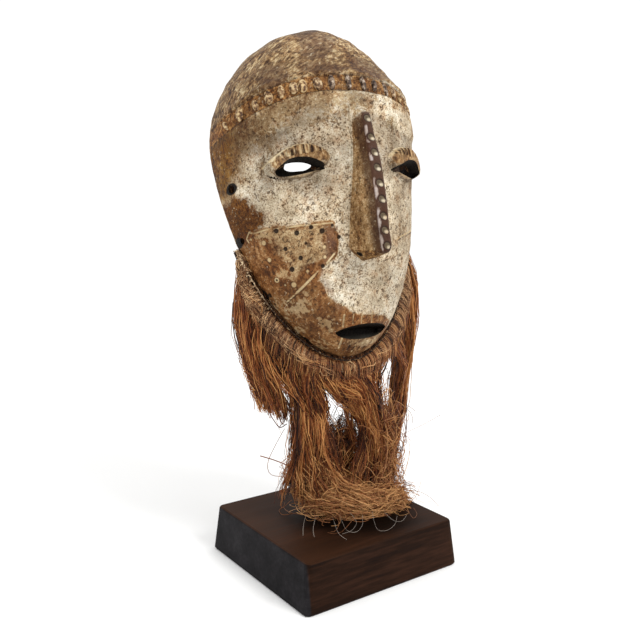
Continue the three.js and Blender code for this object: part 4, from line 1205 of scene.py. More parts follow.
# Loose single fibres: points they run through, thickness, tone and how pale they are
STRAYS = [
    ([(-57, 5, 85), (-46, 4, 80), (-35, 2, 74), (-28, 0, 70)], 0.42, 0.45, 0.0),
    ([(-34, 10, 99), (-43, 8, 89), (-51, 5, 79), (-50, 3, 71), (-40, 0, 68)], 0.24, 0.5, 0.1),
    ([(-69, 20, 176), (-70, 20, 165), (-68, 19, 156), (-63, 18, 148), (-57, 17, 141)], 0.2, 0.7, 0.8),
    ([(69, 8, 75), (80, 9, 77), (87, 1.5, 82.6), (93.5, -4, 87.6), (98.5, -8.8, 92.2)], 0.17, 0.6, 0.4),
    ([(63, 0, 38), (51, -24, 46), (63, -25, 42), (68, -31, 38), (69, -38, 34)], 0.17, 0.6, 0.5),
    ([(74, 10, 102), (79, 10, 98), (83, 10, 96), (88, 10, 92)], 0.22, 0.5, 0.3),
    ([(73, 10, 78), (78, 10, 74), (81, 10, 72), (84, 10, 68)], 0.2, 0.6, 0.3),
    ([(-57, 14, 129), (-61, 14, 124), (-60, 13, 117), (-51, 12, 113), (-43, 12, 106)], 0.14, 0.9, 0.9),
    ([(-46, 12, 118), (-45, 12, 112), (-41, 12, 105), (-37, 11, 100), (-32, 10, 102)], 0.4, 0.4, 0.0),
    ([(-35, 10, 121), (-33, 10, 112), (-34, 10, 105), (-39, 10, 100)], 0.35, 0.4, 0.0),
    ([(-14, -2, 44), (-16, 3, 38), (-21, 3, 34), (-32, -10, 34), (-41, -23, 34)], 0.2, 0.8, 0.7),
    ([(-13, -6, 44), (-15, -2, 36), (-22, -9, 34), (-30, -19, 34), (-36, -29, 34)], 0.2, 0.8, 0.7),
    ([(-8, -20, 40), (-7, -22, 34), (-12, -34, 34), (-8, -39, 34), (1, -34, 35), (4, -30, 40)],
     0.17, 0.8, 0.7),
    ([(13, -30, 40), (13, -32, 34), (6, -45, 34), (11, -49, 34), (22, -44, 34), (29, -38, 36)],
     0.17, 0.8, 0.7),
    ([(-8, -6, 40), (-9, -14, 34), (-19, -33, 34), (-21, -45, 34)], 0.17, 0.8, 0.7),
    ([(-24, 17, 42), (-26, 23, 36), (-31, 23, 34), (-33, 14, 34), (-25, 10, 35)], 0.22, 0.5, 0.2),
    ([(36, -33, 40), (42, -35, 35), (39, -44, 34), (46, -40, 34), (50, -32, 35)], 0.18, 0.5, 0.3),
    ([(0, -21, 40), (2, -26, 34), (-9, -35, 34), (-18, -36, 34)], 0.16, 0.8, 0.7),
    ([(20, -35, 40), (25, -38, 34), (29, -43, 34), (37, -39, 35)], 0.16, 0.8, 0.6),
]


# The way to the front, in the stand's frame
TOWARD_FRONT = placed(np.array([0.0, -1, 0])) - placed(np.zeros(3))


def spline(points, t):
    """Points along smooth curves: points is (fibres, stations, 3), t is (fibres, samples) from 0 to 1"""
    n = points.shape[1]
    first, last = 2 * points[:, :1] - points[:, 1:2], 2 * points[:, -1:] - points[:, -2:-1]
    padded = np.concatenate([first, points, last], 1)
    s = np.clip(t, 0, 1) * (n - 1)
    i = np.clip(np.floor(s).astype(int), 0, n - 2)
    f = (s - i)[..., None]
    row = np.arange(len(points))[:, None]
    a, b, c, d = (padded[row, i + k] for k in range(4))
    square, cube = 2 * a - 5 * b + 4 * c - d, 3 * b - a - 3 * c + d
    return 0.5 * (2 * b + (c - a) * f + square * f * f + cube * f ** 3)


def flow_at(name, share):
    """Stations of strands at shares across a flow, with the vector through its thickness at each"""
    strands, deep = FLOWS[name]
    lines = np.array([points for _, points in strands], float)
    heights = np.array([height for height, _ in strands], float)
    place = share * (len(lines) - 1)
    i = np.clip(np.floor(place).astype(int), 0, len(lines) - 2)
    f = (place - i)[:, None, None]
    path = lines[i] * (1 - f) + lines[i + 1] * f
    across = np.broadcast_to(lines[-1] - lines[0], path.shape)
    ahead = np.gradient(path, axis=1)
    through = np.cross(ahead, across)
    through /= np.linalg.norm(through, axis=-1, keepdims=True)
    through *= np.where(through[..., 1:2] > 0, -1, 1)
    around = np.sign(heights) * np.abs(heights) ** (1 / LOWER_POWER)
    around = around[i] * (1 - f[:, 0, 0]) + around[i + 1] * f[:, 0, 0]
    height = np.sign(around) * np.abs(around) ** LOWER_POWER
    return height, path, through * np.array(deep)[None, :, None]


def rim_root(side_z, away, behind):
    """Point beside the rim and the outward direction, for a signed height up it (negative is the left)"""
    side_z = np.asarray(side_z, float)
    z = np.abs(side_z)
    side = np.where(side_z < 0, -1.0, 1.0)
    x = side * half_width(np.maximum(z, 1e-4))
    low = np.maximum(z - 0.5, 0)
    run = np.stack([half_width(z + 0.5) - half_width(low), 0 * z, z + 0.5 - low], -1)
    run /= np.linalg.norm(run, axis=-1, keepdims=True)
    out = np.stack([side * run[..., 2], 0 * z, -run[..., 0]], -1)
    at = np.stack([x, rim_bow(z) + behind, z], -1) + out * (np.ones_like(z) * away)[..., None]
    world = placed(at)
    return world, placed(at + out) - world


def up_rim(way):
    """Signed height up the rim at a place along it, from -1 at one cheek past 0 at the chin to 1"""
    return BEARD_TOP * np.sign(way) * np.abs(way) ** LOWER_POWER


def above_block(paths, thick):
    """Lifts what would sink into the block, in place"""
    clearance = 0.1
    paths[..., 2] = np.maximum(paths[..., 2], BLOCK_TOP + thick + clearance)


class Fibres:
    """Collected fibre paths with the girth and colour of each"""

    def __init__(self):
        self.sets = []

    def take(self, paths, girth, tone, pale):
        shape = paths.shape[:2]
        self.sets.append((paths, *(np.broadcast_to(v, shape) for v in (girth, tone, pale))))


def wander(rng, paths, clump, loose, hold, turns=1.0):
    """Adds the lazy waves of fibres: shared by a lock, by a clump in it, and a little for each alone"""
    clumps_in_lock = 9
    count, samples = paths.shape[:2]
    t = np.linspace(0, 1, samples)
    groups = clump.max() + 1
    lock = rng.integers(0, max(1, groups // clumps_in_lock), groups)[clump]
    total = np.zeros_like(paths)
    for size, index in ((loose * 1.1, lock), (loose, clump), (loose * 0.65, np.arange(count))):
        many = index.max() + 1
        for k in (1, 2, 3, 5):
            amount = rng.normal(0, size / k ** 0.7, (many, 1, 3))
            phase = rng.uniform(0, 2 * math.pi, (many, 1, 3))
            rate = rng.uniform(0.7, 1.3, (many, 1, 1)) * k * turns
            total += (amount * np.sin(2 * math.pi * rate * t[None, :, None] + phase))[index]
    return paths + total * step(0.25 * hold, 1.3 * hold, t)[None, :, None]


def tints(rng, clump, tone):
    """Colour of each fibre: mostly its clump's own, with a few bright and a few dark ones"""
    count = len(clump)
    tint = 0.6 * rng.uniform(*tone, clump.max() + 1)[clump] + 0.4 * rng.uniform(*tone, count)
    odd = rng.random(count)
    tint = 0.5 + 1.2 * (tint - 0.5) + 0.40 * (odd < 0.12) - 0.3 * (odd > 0.8)
    return np.clip(tint, 0, 1)[:, None]


def drifts(rng, count, size):
    """Clump of each fibre and where the clump lies across and through the flow"""
    groups = max(2, count // size)
    clump = rng.integers(0, groups, count)
    return clump, rng.uniform(0, 1, groups), rng.uniform(-1, 1, groups)


def comb(store, seed, flow, count, ends, loose=0.5, girth=(0.17, 0.34), tone=(0.1, 1), size=14, samples=16,
         part=(0, 1), front=0.0, pale=(6, 24)):
    """Fibres from behind the rim, out under the cord and down along a flow"""
    rng = np.random.default_rng(seed)
    clump, across, through = drifts(rng, count, size)
    groups = len(across)
    along = np.linspace(0, 1, samples)[None, :]
    share = part[0] + (part[1] - part[0]) * across[clump] + rng.normal(0, 0.022, count)
    height, path, depth = flow_at(flow, share)
    height = np.clip(height, -BEARD_TOP, BEARD_TOP)
    far = np.abs(height)
    # Round the rim: from behind it to its edge, less far out where the heading ends, and on outward
    root_out, root_back, edge_out, edge_back, layer_deep, longest_gap = 2.1, 2.6, 3.6, 1.2, 0.9, 15
    start, out = rim_root(height, root_out, root_back)
    layer = np.clip(through[clump] + rng.normal(0, 0.16, count), -1.1, 1.1)
    edge = rim_root(height, edge_out - 3.4 * step(58, BEARD_TOP, far), edge_back - layer_deep * layer)[0]
    gap = np.minimum(np.linalg.norm(path[:, 0] - edge, axis=1)[:, None], longest_gap)
    gap *= 1 - 0.9 * step(50, 78, far)[:, None]
    off = edge + out * gap * rng.uniform(0.40, 0.70, (count, 1))
    off = off + TOWARD_FRONT * (layer_deep * layer[:, None])
    thin = np.sqrt(np.clip(1 - (2 * np.clip(share, 0, 1) - 1) ** 2, 0.08, 1))
    body = path + depth * ((layer * (0.35 + 0.65 * thin) + front))[:, None, None]
    body[:, 0] += rng.normal(0, 0.5, (count, 3))
    # A guide that begins above the bend would make a loop there
    high = (body[:, 0, 2] > off[:, 2] - 3)[:, None]
    body[:, 0] = np.where(high, 0.6 * off + 0.4 * body[:, 1], body[:, 0])
    control = np.concatenate([start[:, None], edge[:, None], off[:, None], body], 1)
    reach = rng.uniform(*ends, groups)[clump] + rng.normal(0, 0.03, count)
    paths = spline(control, along * np.clip(reach, 0.2, 1)[:, None])
    # A fibre that outruns its flow bends down and away
    droop = 40
    paths[..., 2] -= droop * (np.maximum(0, reach - 1)[:, None] * along ** 2)
    mean = min(1.0, sum(ends) / 2)
    paths = wander(rng, paths, clump, loose * math.sqrt(mean), turns=mean, hold=0.32 / mean)
    # Clumps draw together and part again on the way down, and some fibres leave theirs
    most_loose, leaving = 3.2, 0.13
    phase = np.linspace(0, 2.2 * math.pi, samples)[None] + rng.uniform(0, 6, (groups, 1))[clump]
    pinch = 0.35 + 0.65 * np.sin(phase) ** 2
    pinch *= step(0.15, 0.4, along)
    paths += rng.normal(0, mean ** 1.5, (count, 1, 3)) * pinch[..., None]
    loosened = np.where(rng.random(count) < leaving, 1, 0)[:, None, None] * along[..., None] ** 2
    paths += rng.normal(0, most_loose * mean ** 2, (count, 1, 3)) * (1, 1, 0.4) * loosened
    # A few are coarser, and all taper
    coarse, coarser, taper = 0.15, 1.2, 0.35
    thick = rng.uniform(*girth, (count, 1)) * np.where(rng.random((count, 1)) < coarse, coarser, 1)
    thick = thick * (1 - taper * along ** 3)
    above_block(paths, thick)
    run = np.linalg.norm(np.diff(paths, axis=1), axis=2).cumsum(1)
    run = np.concatenate([np.zeros((count, 1)), run], 1)
    # Painted light: fibres paler a short way out from the rim
    lit = step(pale[1], pale[0], run + rng.normal(0, 2, (count, 1))) * step(1.0, 3.5, run)
    store.take(paths, thick, tints(rng, clump, tone), 0.8 * lit)


def rim_fringe(store, seed, count, tone, samples=9):
    """Short fibres side by side, combed straight out from the rim and bending down over the hanks"""
    rng = np.random.default_rng(seed)
    clump, across, _ = drifts(rng, count, 5)
    height = up_rim(-0.98 + 1.96 * across[clump] + rng.normal(0, 0.003, count))
    far = np.abs(height)
    layer = rng.uniform(-1, 1, count)
    away = 3.3 - 3.1 * step(58, BEARD_TOP, far)
    start = rim_root(height, away - 1.2, 2.4)[0]
    edge, out = rim_root(height, away, 0.9 - 0.9 * layer)
    # How far out it stands and how long it is, by height up the rim
    reach = np.interp(far, [0, 12, 30, 50, 66, 80], [7, 9, 11, 9.5, 6, 1.5]) * rng.uniform(0.7, 1.15, count)
    length = np.interp(far, [0, 12, 45, 80], [13, 19, 27, 22]) * rng.uniform(0.55, 1.1, count)
    way = length[:, None] * np.linspace(0, 1, samples - 1)[None]
    outward = reach[:, None] * (1 - np.exp(-way / reach[:, None]))
    drawn = np.stack([0.12 * np.clip(-height / 30, -1, 1), 0.10 + 0 * far, -0.98 + 0 * far], -1)
    lift = (1.6 + 0.9 * layer)[:, None] * np.sin(np.linspace(0, 2.6, samples - 1))[None]
    paths = edge[:, None] + out[:, None] * outward[..., None] + drawn[:, None] * (way - outward)[..., None]
    paths = paths + TOWARD_FRONT * lift[..., None]
    stir = rng.normal(0, 0.5, (len(across), 1, 3))[clump] + rng.normal(0, 0.35, (count, 1, 3))
    paths += stir * step(0.2, 1, way / 27)[..., None]
    paths = np.concatenate([start[:, None], paths], 1)
    thick = rng.uniform(0.13, 0.25, (count, 1)) * (1 - 0.35 * np.linspace(0, 1, samples)[None] ** 3)
    # Painted light a short way out from the rim, and painted shade on the fringe under the chin
    lit = step(24, 7, np.concatenate([way[:, :1], way], 1) + rng.normal(0, 2, (count, 1)))
    store.take(paths, thick, tints(rng, clump, tone), (0.25 + 0.5 * step(14, 46, far))[:, None] * lit)


def drift(store, seed, flow, count, begins, ends, loose, girth=(0.17, 0.34), tone=(0.2, 1), pale=0.0,
          size=10, samples=14, part=(0, 1)):
    """Fibres lying along a stretch of a flow, without roots"""
    rng = np.random.default_rng(seed)
    clump, across, through = drifts(rng, count, size)
    share = part[0] + (part[1] - part[0]) * across[clump] + rng.normal(0, 0.05, count)
    _, path, depth = flow_at(flow, share)
    path = path + depth * (through[clump] + rng.normal(0, 0.2, count))[:, None, None]
    first = rng.uniform(*begins, len(across))[clump] + rng.normal(0, 0.04, count)
    last = rng.uniform(*ends, len(across))[clump] + rng.normal(0, 0.04, count)
    paths = spline(path, first[:, None] + (last - first)[:, None] * np.linspace(0, 1, samples)[None])
    paths = wander(rng, paths, clump, loose, hold=0.02)
    thick = rng.uniform(*girth, (count, 1)) * np.ones((1, samples))
    above_block(paths, thick)
    store.take(paths, thick, tints(rng, clump, tone), pale)


def curls(store, seed, count, box, size, tone, pale, flat, girth=(0.15, 0.26), turns=(2, 5), samples=14,
          along=None):
    """Loose curled ends and tangles, in a box or about a flow"""
    rng = np.random.default_rng(seed)
    middle = rng.uniform(*box, (count, 1, 3))
    if along:
        _, path, depth = flow_at(along, rng.uniform(-0.1, 1.1, count))
        path = path + depth * rng.uniform(-0.9, 1.1, (count, 1, 1))
        middle += spline(path, rng.uniform(0.25, 1, (count, 1)))
    t = np.linspace(0, 1, samples)[None, :]
    begin, hand = rng.uniform(0, 2 * math.pi, (count, 1)), rng.choice([-1, 1], (count, 1))
    spin = begin + hand * rng.uniform(*turns, (count, 1)) * t
    grow = rng.uniform(*size, (count, 1)) * (0.5 + 0.7 * t)
    tilt = rng.normal(0, flat, (count, 1, 2))
    x = grow * np.cos(spin) + rng.normal(0, 3, (count, 1)) * t
    y = grow * np.sin(spin) + rng.normal(0, 3, (count, 1)) * t
    z = x * tilt[:, :, 0] + y * tilt[:, :, 1]
    paths = middle + np.stack([x, y, z], -1) + rng.normal(0, 0.2, (count, samples, 3))
    thick = rng.uniform(*girth, (count, 1))
    above_block(paths, thick)
    store.take(paths, thick, rng.uniform(*tone, (count, 1)), pale)


def stray(store, points, girth, tone, pale):
    """One fibre through given points"""
    paths = spline(np.array([points], float), np.linspace(0, 1, 14)[None])
    store.take(paths, girth, tone, pale)


def raffia():
    """Dried palm fibre: reddish brown, mixed toward straw in pale fibres and as painted light near the roots,
    a dull satin strand
    """
    made, tree, surface = material("raffia_fibre")
    tone = add(tree, "ShaderNodeAttribute", attribute_name="tone").outputs["Fac"]
    pale = add(tree, "ShaderNodeAttribute", attribute_name="pale").outputs["Fac"]
    where = add(tree, "ShaderNodeTexCoord").outputs["Object"]
    patch = add(tree, "ShaderNodeTexNoise", {"Vector": where, "Scale": 9 / DECIMETRE, "Detail": 3})
    fleck = add(tree, "ShaderNodeTexNoise", {"Vector": where, "Scale": 90 / DECIMETRE, "Detail": 1})
    own = add(tree, "ShaderNodeMath", {0: tone, 1: 0.66}, operation="MULTIPLY")
    mixed = add(tree, "ShaderNodeMath", {0: patch, 1: 0.34, 2: own}, operation="MULTIPLY_ADD")
    brown = add(tree, "ShaderNodeValToRGB", {0: mixed}, stops=[(0.20, "#1c0b06"), (0.38, "#50240f"),
                                                               (0.58, "#905025"), (0.80, "#c88f54")])
    straw = add(tree, "ShaderNodeValToRGB", {0: mixed}, stops=[(0.20, "#29140a"), (0.44, "#7a5537"),
                                                               (0.74, "#ccab81")])
    shade = add(tree, "ShaderNodeMix", {0: pale, 6: brown, 7: straw}, data_type="RGBA")
    bleached = add(tree, "ShaderNodeMapRange", {"Value": pale, "From Min": 0.85, "From Max": 1.0})
    shade = add(tree, "ShaderNodeMix", {0: bleached, 6: shade, 7: "#b1a79c"}, data_type="RGBA")
    bump = add(tree, "ShaderNodeBump", {"Strength": 0.4, "Distance": 0.1 * MM, "Height": fleck})
    feed(tree, surface, {"Base Color": shade, "Roughness": 0.55, "Specular IOR Level": 0.25, "Normal": bump})
    return made


def spun(name, store, finish, sides=3):
    """Fibres as closed strands along their paths"""
    points, edges, notes, base = [], [], [[], [], []], 0
    for paths, *values in store.sets:
        count, samples = paths.shape[:2]
        index = base + np.arange(count * samples).reshape(count, samples)
        edges.append(np.stack([index[:, :-1].ravel(), index[:, 1:].ravel()], 1))
        points.append(paths.reshape(-1, 3))
        for kept, value in zip(notes, values):
            kept.append(value.ravel())
        base += count * samples
    points, edges = np.concatenate(points), np.concatenate(edges)
    data = bpy.data.meshes.new(name)
    data.vertices.add(len(points))
    data.vertices.foreach_set("co", (points * MM).astype(np.float32).ravel())
    data.edges.add(len(edges))
    data.edges.foreach_set("vertices", edges.astype(np.int32).ravel())
    data.update()
    for label, kept, scale in zip(("girth", "tone", "pale"), notes, (MM, 1, 1)):
        note(data, label, np.concatenate(kept) * scale)

    def build(group, start):
        line = add(group, "GeometryNodeMeshToCurve", {"Mesh": start.outputs["Geometry"]})
        girth = add(group, "GeometryNodeInputNamedAttribute", {"Name": "girth"}, data_type="FLOAT")
        ring = {"Resolution": start.outputs["Sides"], "Radius": 1.0}
        ring = add(group, "GeometryNodeCurvePrimitiveCircle", ring)
        tube = add(group, "GeometryNodeCurveToMesh", {"Curve": line, "Profile Curve": ring, "Scale": girth,
                                                      "Fill Caps": True})
        return add(group, "GeometryNodeSetShadeSmooth", {"Geometry": tube}).outputs[0]
    return grown(object_of(name, data), "strands_" + name, finish, {"Sides": sides}, build)


# Dark core of each flow, painted shade for its inside: share of its width and of its depth, and how far down
# it goes
CORES = [("left", 0.58, 0.5, 0.86), ("main", 0.66, 0.6, 0.97), ("cross", 0.5, 0.5, 0.95),
         ("chin", 0.42, 0.45, 0.95), ("right", 0.62, 0.55, 0.97)]


def beard_core():
    """Painted shade as dark solids inside the flows and in the tangle, and the heading that backs the gap
    beside the rim, dark as painted shadow
    """
    end_share, knot_x, knot_y, knot_flat = 0.3, 16, 14, 0.55
    parts = []
    turn = np.linspace(0, 2 * math.pi, 10, endpoint=False)
    for name, width, depth, last in CORES:
        _, path, through = flow_at(name, 0.5 + 0.5 * width * np.cos(turn))
        bulge = (depth * np.sin(turn))[:, None, None] * through
        line = np.repeat(np.linspace(0.03, last, 16)[None], len(turn), 0)
        rings = np.swapaxes(spline(path + bulge, line), 0, 1)
        for end in (0, -1):
            rings[end] = rings[end].mean(0) + (rings[end] - rings[end].mean(0)) * end_share
        rings[..., 2] = np.maximum(rings[..., 2], BLOCK_TOP + 0.4)
        parts.append(loft(rings))
    # Knot behind the flows, standing on the block: painted shade for the shadowed tangle there
    levels = np.linspace(BLOCK_TOP + 0.5, 88, 9)
    girths = np.interp(levels, [33, 45, 66, 80, 88], [14, 11, 7.5, 4.5, 1.5])
    parts.append(loft([np.stack([knot_x + g * np.cos(turn), knot_y + knot_flat * g * np.sin(turn),
                                 0 * turn + z], -1) for z, g in zip(levels, girths)]))
    # Heading along the rim, dark as painted shadow in the gap; beside the tip of the chin its inner edge
    # stays outside the wood
    heights = up_rim(np.linspace(-1, 1, 120))
    reach = 7.5 - 4.5 * step(44, BEARD_TOP, np.abs(heights))
    inner = np.where(np.abs(np.abs(heights) - 0.25) < 0.1, 0.9, -3.0)
    ribbon = [rim_root(heights, away, behind)[0] for away, behind in
              ((inner, 0.7), (reach, 1.0), (reach, 3.0), (inner, 1.5))]
    parts.append(loft(np.stack(ribbon, 1)))
    points, faces = merge(parts)
    return mesh_of("beard_core", points * MM, faces)


def shadowed_raffia():
    """Painted shade for fibre deep in the beard: nearly black with brown strands"""
    made, tree, surface = material("raffia_painted_shade")
    where = add(tree, "ShaderNodeTexCoord").outputs["Object"]
    long = add(tree, "ShaderNodeMapping", {"Vector": where, "Scale": (1, 1, 0.12)})
    strands = add(tree, "ShaderNodeTexNoise", {"Vector": long, "Scale": 90 / DECIMETRE, "Detail": 3})
    shade = add(tree, "ShaderNodeValToRGB", {0: strands}, stops=[(0.4, "#170c06"), (0.52, "#3a2112"),
                                                                 (0.66, "#644127")])
    bump = add(tree, "ShaderNodeBump", {"Strength": 1.0, "Distance": 1.5 * MM, "Height": strands})
    feed(tree, surface, {"Base Color": shade, "Roughness": 0.9, "Specular IOR Level": 0.1, "Normal": bump})
    return made


def make_beard():
    """The five pieces of fibre; the first number of each call seeds its random draws"""
    finish = raffia()
    pieces = {name: Fibres() for name in ("left_lock", "main_hank", "right_hanks", "heap", "chin_fringe")}
    left, main, right, low, fringe = pieces.values()
    short = {"samples": 9, "front": 0.2, "girth": (0.13, 0.26), "pale": (8, 34), "size": 9}
    comb(left, 101, "left", 1400, (0.80, 1.03), loose=1.6, tone=(0.25, 1), part=(0, 1.1), pale=(8, 34))
    comb(left, 102, "left", 700, (0.3, 0.7), tone=(0.2, 1), **short)
    comb(main, 103, "main", 1330, (0.86, 1.0), loose=2.1, part=(-0.04, 0.97), samples=17, pale=(8, 34))
    comb(main, 104, "main", 700, (0.25, 0.6), tone=(0, 1), **short)
    comb(right, 105, "cross", 500, (0.62, 1.0), loose=2.2, size=9)
    comb(right, 106, "chin", 640, (0.55, 1.0), loose=2.3, part=(0, 1.12), size=9)
    comb(right, 107, "right", 660, (0.82, 1.0), loose=1.5, part=(-0.02, 1.0))
    rim_fringe(fringe, 108, 2900, tone=(0.05, 0.95))
    drift(low, 201, "heap", 760, (0.0, 0.3), (0.5, 0.94), 2.1, tone=(0.45, 1), girth=(0.13, 0.28), pale=0.15,
          size=7)
    drift(low, 202, "heap", 300, (0.3, 0.5), (0.65, 0.95), 2.6, tone=(0.6, 1), pale=0.2, size=5)
    curls(low, 209, 170, ((0, 0, 0), (0, 0, 0)), (4, 11), (0.5, 1), 0.25, 0.6, girth=(0.12, 0.24),
          turns=(1, 3.2), samples=10, along="heap")
    drift(low, 203, "chin", 60, (0.4, 0.6), (0.8, 1.0), 4.5, tone=(0.4, 1), part=(-0.2, 1.0), size=3)
    drift(low, 204, "tangle", 380, (0.0, 0.5), (0.7, 1.0), 2.8, tone=(0.05, 0.6), girth=(0.16, 0.3), size=6,
          samples=12)
    curls(low, 205, 420, ((3, 6, 44), (30, 18, 98)), (2, 7), (0.1, 0.9), 0.15, 1.2, girth=(0.13, 0.25),
          samples=11)
    curls(low, 206, 380, ((28, -12, 40), (58, 8, 106)), (3, 10), (0.3, 1), 0.2, 1.4, girth=(0.13, 0.26),
          samples=12)
    curls(low, 207, 90, ((-26, -22, 36), (48, 12, 44)), (6, 15), (0.4, 1), 0.3, 0.35)
    curls(low, 208, 60, ((-12, 0, 50), (0, 12, 100)), (4, 9), (0.2, 0.8), 0.2, 1.3, samples=12)
    for points, girth, tone, pale in STRAYS:
        bleached = pale > 0.5
        stray(low, points, girth * (0.6 if bleached else 1), tone, 1.0 if bleached else pale)
    return [spun("beard_" + name, store, finish) for name, store in pieces.items()]


def cord_fibre():
    """Twisted plant-fibre cord, pale and dusty, darker in patches, with painted shade where it runs through
    the dark gap under the chin
    """
    made, tree, surface = material("plaited_plant_cord")
    where = add(tree, "ShaderNodeTexCoord").outputs["Object"]
    dust = add(tree, "ShaderNodeTexNoise", {"Vector": where, "Scale": 65 / DECIMETRE, "Detail": 3})
    clean = add(tree, "ShaderNodeValToRGB", {0: dust}, stops=[(0.34, "#553f2b"), (0.48, "#967a5d"),
                                                              (0.62, "#cbb694")])
    # Painted shade for the cord low on the rim, in the gap under it
    cord_in_shade = add(tree, "ShaderNodeValToRGB", {0: dust}, stops=[(0.40, "#120a05"), (0.56, "#2b1a0e"),
                                                              (0.66, "#8d7556")])
    tone = add(tree, "ShaderNodeAttribute", attribute_name="tone").outputs["Fac"]
    shade = add(tree, "ShaderNodeMix", {0: tone, 6: cord_in_shade, 7: clean}, data_type="RGBA")
    bump = add(tree, "ShaderNodeBump", {"Strength": 0.8, "Distance": 0.3 * MM, "Height": dust})
    feed(tree, surface, {"Base Color": shade, "Roughness": 0.8, "Specular IOR Level": 0.2, "Normal": bump})
    return made


def lace_cord():
    """Thin cord along the rim with the stitches that hold the fringe to it"""
    laces = Fibres()
    run = up_rim(np.linspace(-1, 1, 520))
    order = np.arange(len(run))
    at = rim_root(run, 2.7 + 0.2 * np.sin(order * 0.7), -1.9)[0]
    bead = 0.48 + 0.12 * np.sin(order * 2.1) + 0.6 * step(-60, -74, run)
    # Painted shade on the cord low on the rim, clean colour at the sides
    laces.take(at[None], bead[None], step(34, 58, np.abs(run))[None], 0.0)
    rng = np.random.default_rng(77)
    for height in np.concatenate([np.arange(-79, -38, 1.9), np.arange(30, 80, 1.7)]):
        lean = 1.3 * (1 if int(height * 10) % 2 else -1)
        ends = [rim_root(height, 2.2, -1.1)[0], rim_root(height + lean * 0.5, 3.4, -2.4)[0],
                rim_root(height + lean, 4.9 + rng.uniform(-0.3, 0.3), -1.5)[0]]
        # Stitches in painted shade low on the rim, clean at the sides
        laces.take(np.array([ends]), 0.32, step(34, 58, abs(height)), 0.0)
    return spun("rim_cord", laces, cord_fibre(), sides=6)


cord = lace_cord()
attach(cord, "root")
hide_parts("beard_cord")
core = beard_core()
dress(core, shadowed_raffia())
beard_pieces = make_beard()
for piece in [core] + beard_pieces:
    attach(piece, "root")
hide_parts("beard")


# Stand

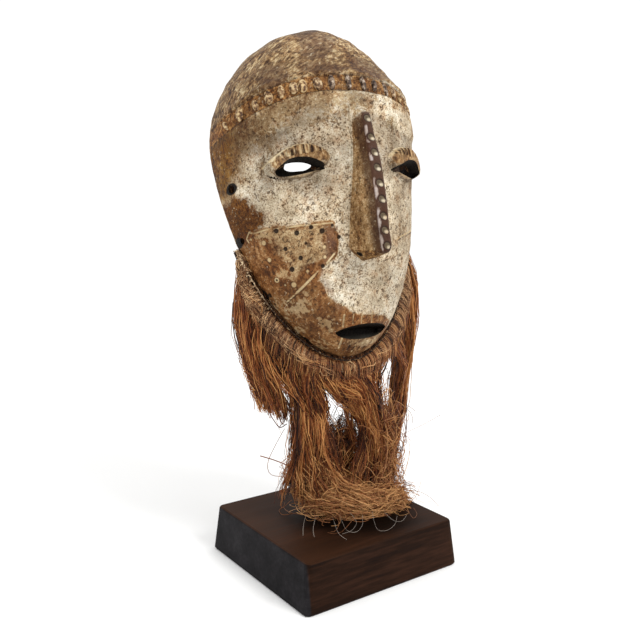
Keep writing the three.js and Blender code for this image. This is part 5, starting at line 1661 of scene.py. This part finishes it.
def stained_hardwood():
    """Dense dark hardwood, stained and waxed: faint straight grain, a greyer copy on the left face as painted
    reflection, and painted shade on top, darkest under the heap of fibre and redder further off
    """
    made, tree, surface = material("stained_hardwood")
    where = add(tree, "ShaderNodeTexCoord").outputs["Object"]
    long = add(tree, "ShaderNodeMapping", {"Vector": where, "Scale": (0.10, 1.0, 1.0)})
    grain = add(tree, "ShaderNodeTexNoise", {"Vector": long, "Scale": 42 / DECIMETRE, "Detail": 4,
                                             "Roughness": 0.6})
    broad = add(tree, "ShaderNodeTexNoise", {"Vector": long, "Scale": 6 / DECIMETRE, "Detail": 2})
    both = add(tree, "ShaderNodeMath", {0: grain, 1: broad}, operation="ADD")
    half = add(tree, "ShaderNodeMath", {0: both, 1: 0.5}, operation="MULTIPLY")
    shade = add(tree, "ShaderNodeValToRGB", {0: half}, stops=[(0.36, "#100806"), (0.5, "#1f1109"),
                                                              (0.66, "#321e14")])
    # Painted reflection: the left face takes a greyer copy of the wood, as if it mirrored the white room
    dull = add(tree, "ShaderNodeValToRGB", {0: half}, stops=[(0.36, "#121112"), (0.5, "#1d1b1d"),
                                                             (0.66, "#292729")])
    place = add(tree, "ShaderNodeSeparateXYZ", {"Vector": where}).outputs
    cheek = add(tree, "ShaderNodeMapRange", {"Value": place["X"], "From Min": -60.8 * MM,
                                             "From Max": -61.9 * MM})
    tone = add(tree, "ShaderNodeMix", {0: cheek, 6: shade, 7: dull}, data_type="RGBA")
    # Painted shade on top: darker near the foot of the beard, redder and lighter away from it
    apart = add(tree, "ShaderNodeVectorMath", {0: where, 1: (0.012, -0.012, BLOCK_TOP * MM)},
                operation="DISTANCE")
    rubbed = add(tree, "ShaderNodeMapRange", {"Value": apart.outputs["Value"], "From Min": 0.028,
                                              "From Max": 0.075, "To Min": 0.0, "To Max": 0.55})
    upper = add(tree, "ShaderNodeMapRange", {"Value": place["Z"], "From Min": (BLOCK_TOP - 0.8) * MM,
                                             "From Max": (BLOCK_TOP - 0.2) * MM})
    rubbed = add(tree, "ShaderNodeMath", {0: rubbed, 1: upper}, operation="MULTIPLY")
    tone = add(tree, "ShaderNodeMix", {0: rubbed, 6: tone, 7: "#3f2719"}, data_type="RGBA")
    # Painted shadow under and in front of the heap of fibre
    held = {"Vector": where, "Location": (0.003, -0.020, BLOCK_TOP * MM), "Scale": (0.052, 0.026, 0.02),
            "Rotation": (0, 0, math.radians(VIEW_TURN))}
    held = add(tree, "ShaderNodeMapping", held, vector_type="TEXTURE")
    held = add(tree, "ShaderNodeVectorMath", {0: held}, operation="LENGTH")
    held = {"Value": held.outputs["Value"], "From Min": 1.15, "From Max": 0.45, "To Max": 0.85}
    held = add(tree, "ShaderNodeMapRange", held, interpolation_type="SMOOTHSTEP")
    tone = add(tree, "ShaderNodeMix", {0: held, 6: tone, 7: "#050302"}, data_type="RGBA")
    rough = add(tree, "ShaderNodeMapRange", {"Value": grain, "To Min": 0.42, "To Max": 0.62})
    bump = add(tree, "ShaderNodeBump", {"Strength": 0.25, "Distance": 0.2 * MM, "Height": grain})
    feed(tree, surface, {"Base Color": tone, "Roughness": rough, "Specular IOR Level": 0.04, "Normal": bump})
    return made


def blackened_steel():
    """Mild steel rod with a black oil finish, rubbed a little brighter in places"""
    made, tree, surface = material("blackened_steel")
    where = add(tree, "ShaderNodeTexCoord").outputs["Object"]
    rub = add(tree, "ShaderNodeTexNoise", {"Vector": where, "Scale": 12 / DECIMETRE, "Detail": 4})
    shade = add(tree, "ShaderNodeValToRGB", {0: rub}, stops=[(0.4, "#141415"), (0.6, "#242426"),
                                                             (0.75, "#3a3a3c")])
    rough = add(tree, "ShaderNodeMapRange", {"Value": rub, "To Min": 0.38, "To Max": 0.6})
    bump = add(tree, "ShaderNodeBump", {"Strength": 0.2, "Distance": 0.1 * MM, "Height": rub})
    feed(tree, surface, {"Base Color": shade, "Metallic": 1.0, "Roughness": rough, "Normal": bump})
    return made


for node_name, finish in (("block", stained_hardwood()), ("rod", blackened_steel())):
    dress(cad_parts[node_name], finish)
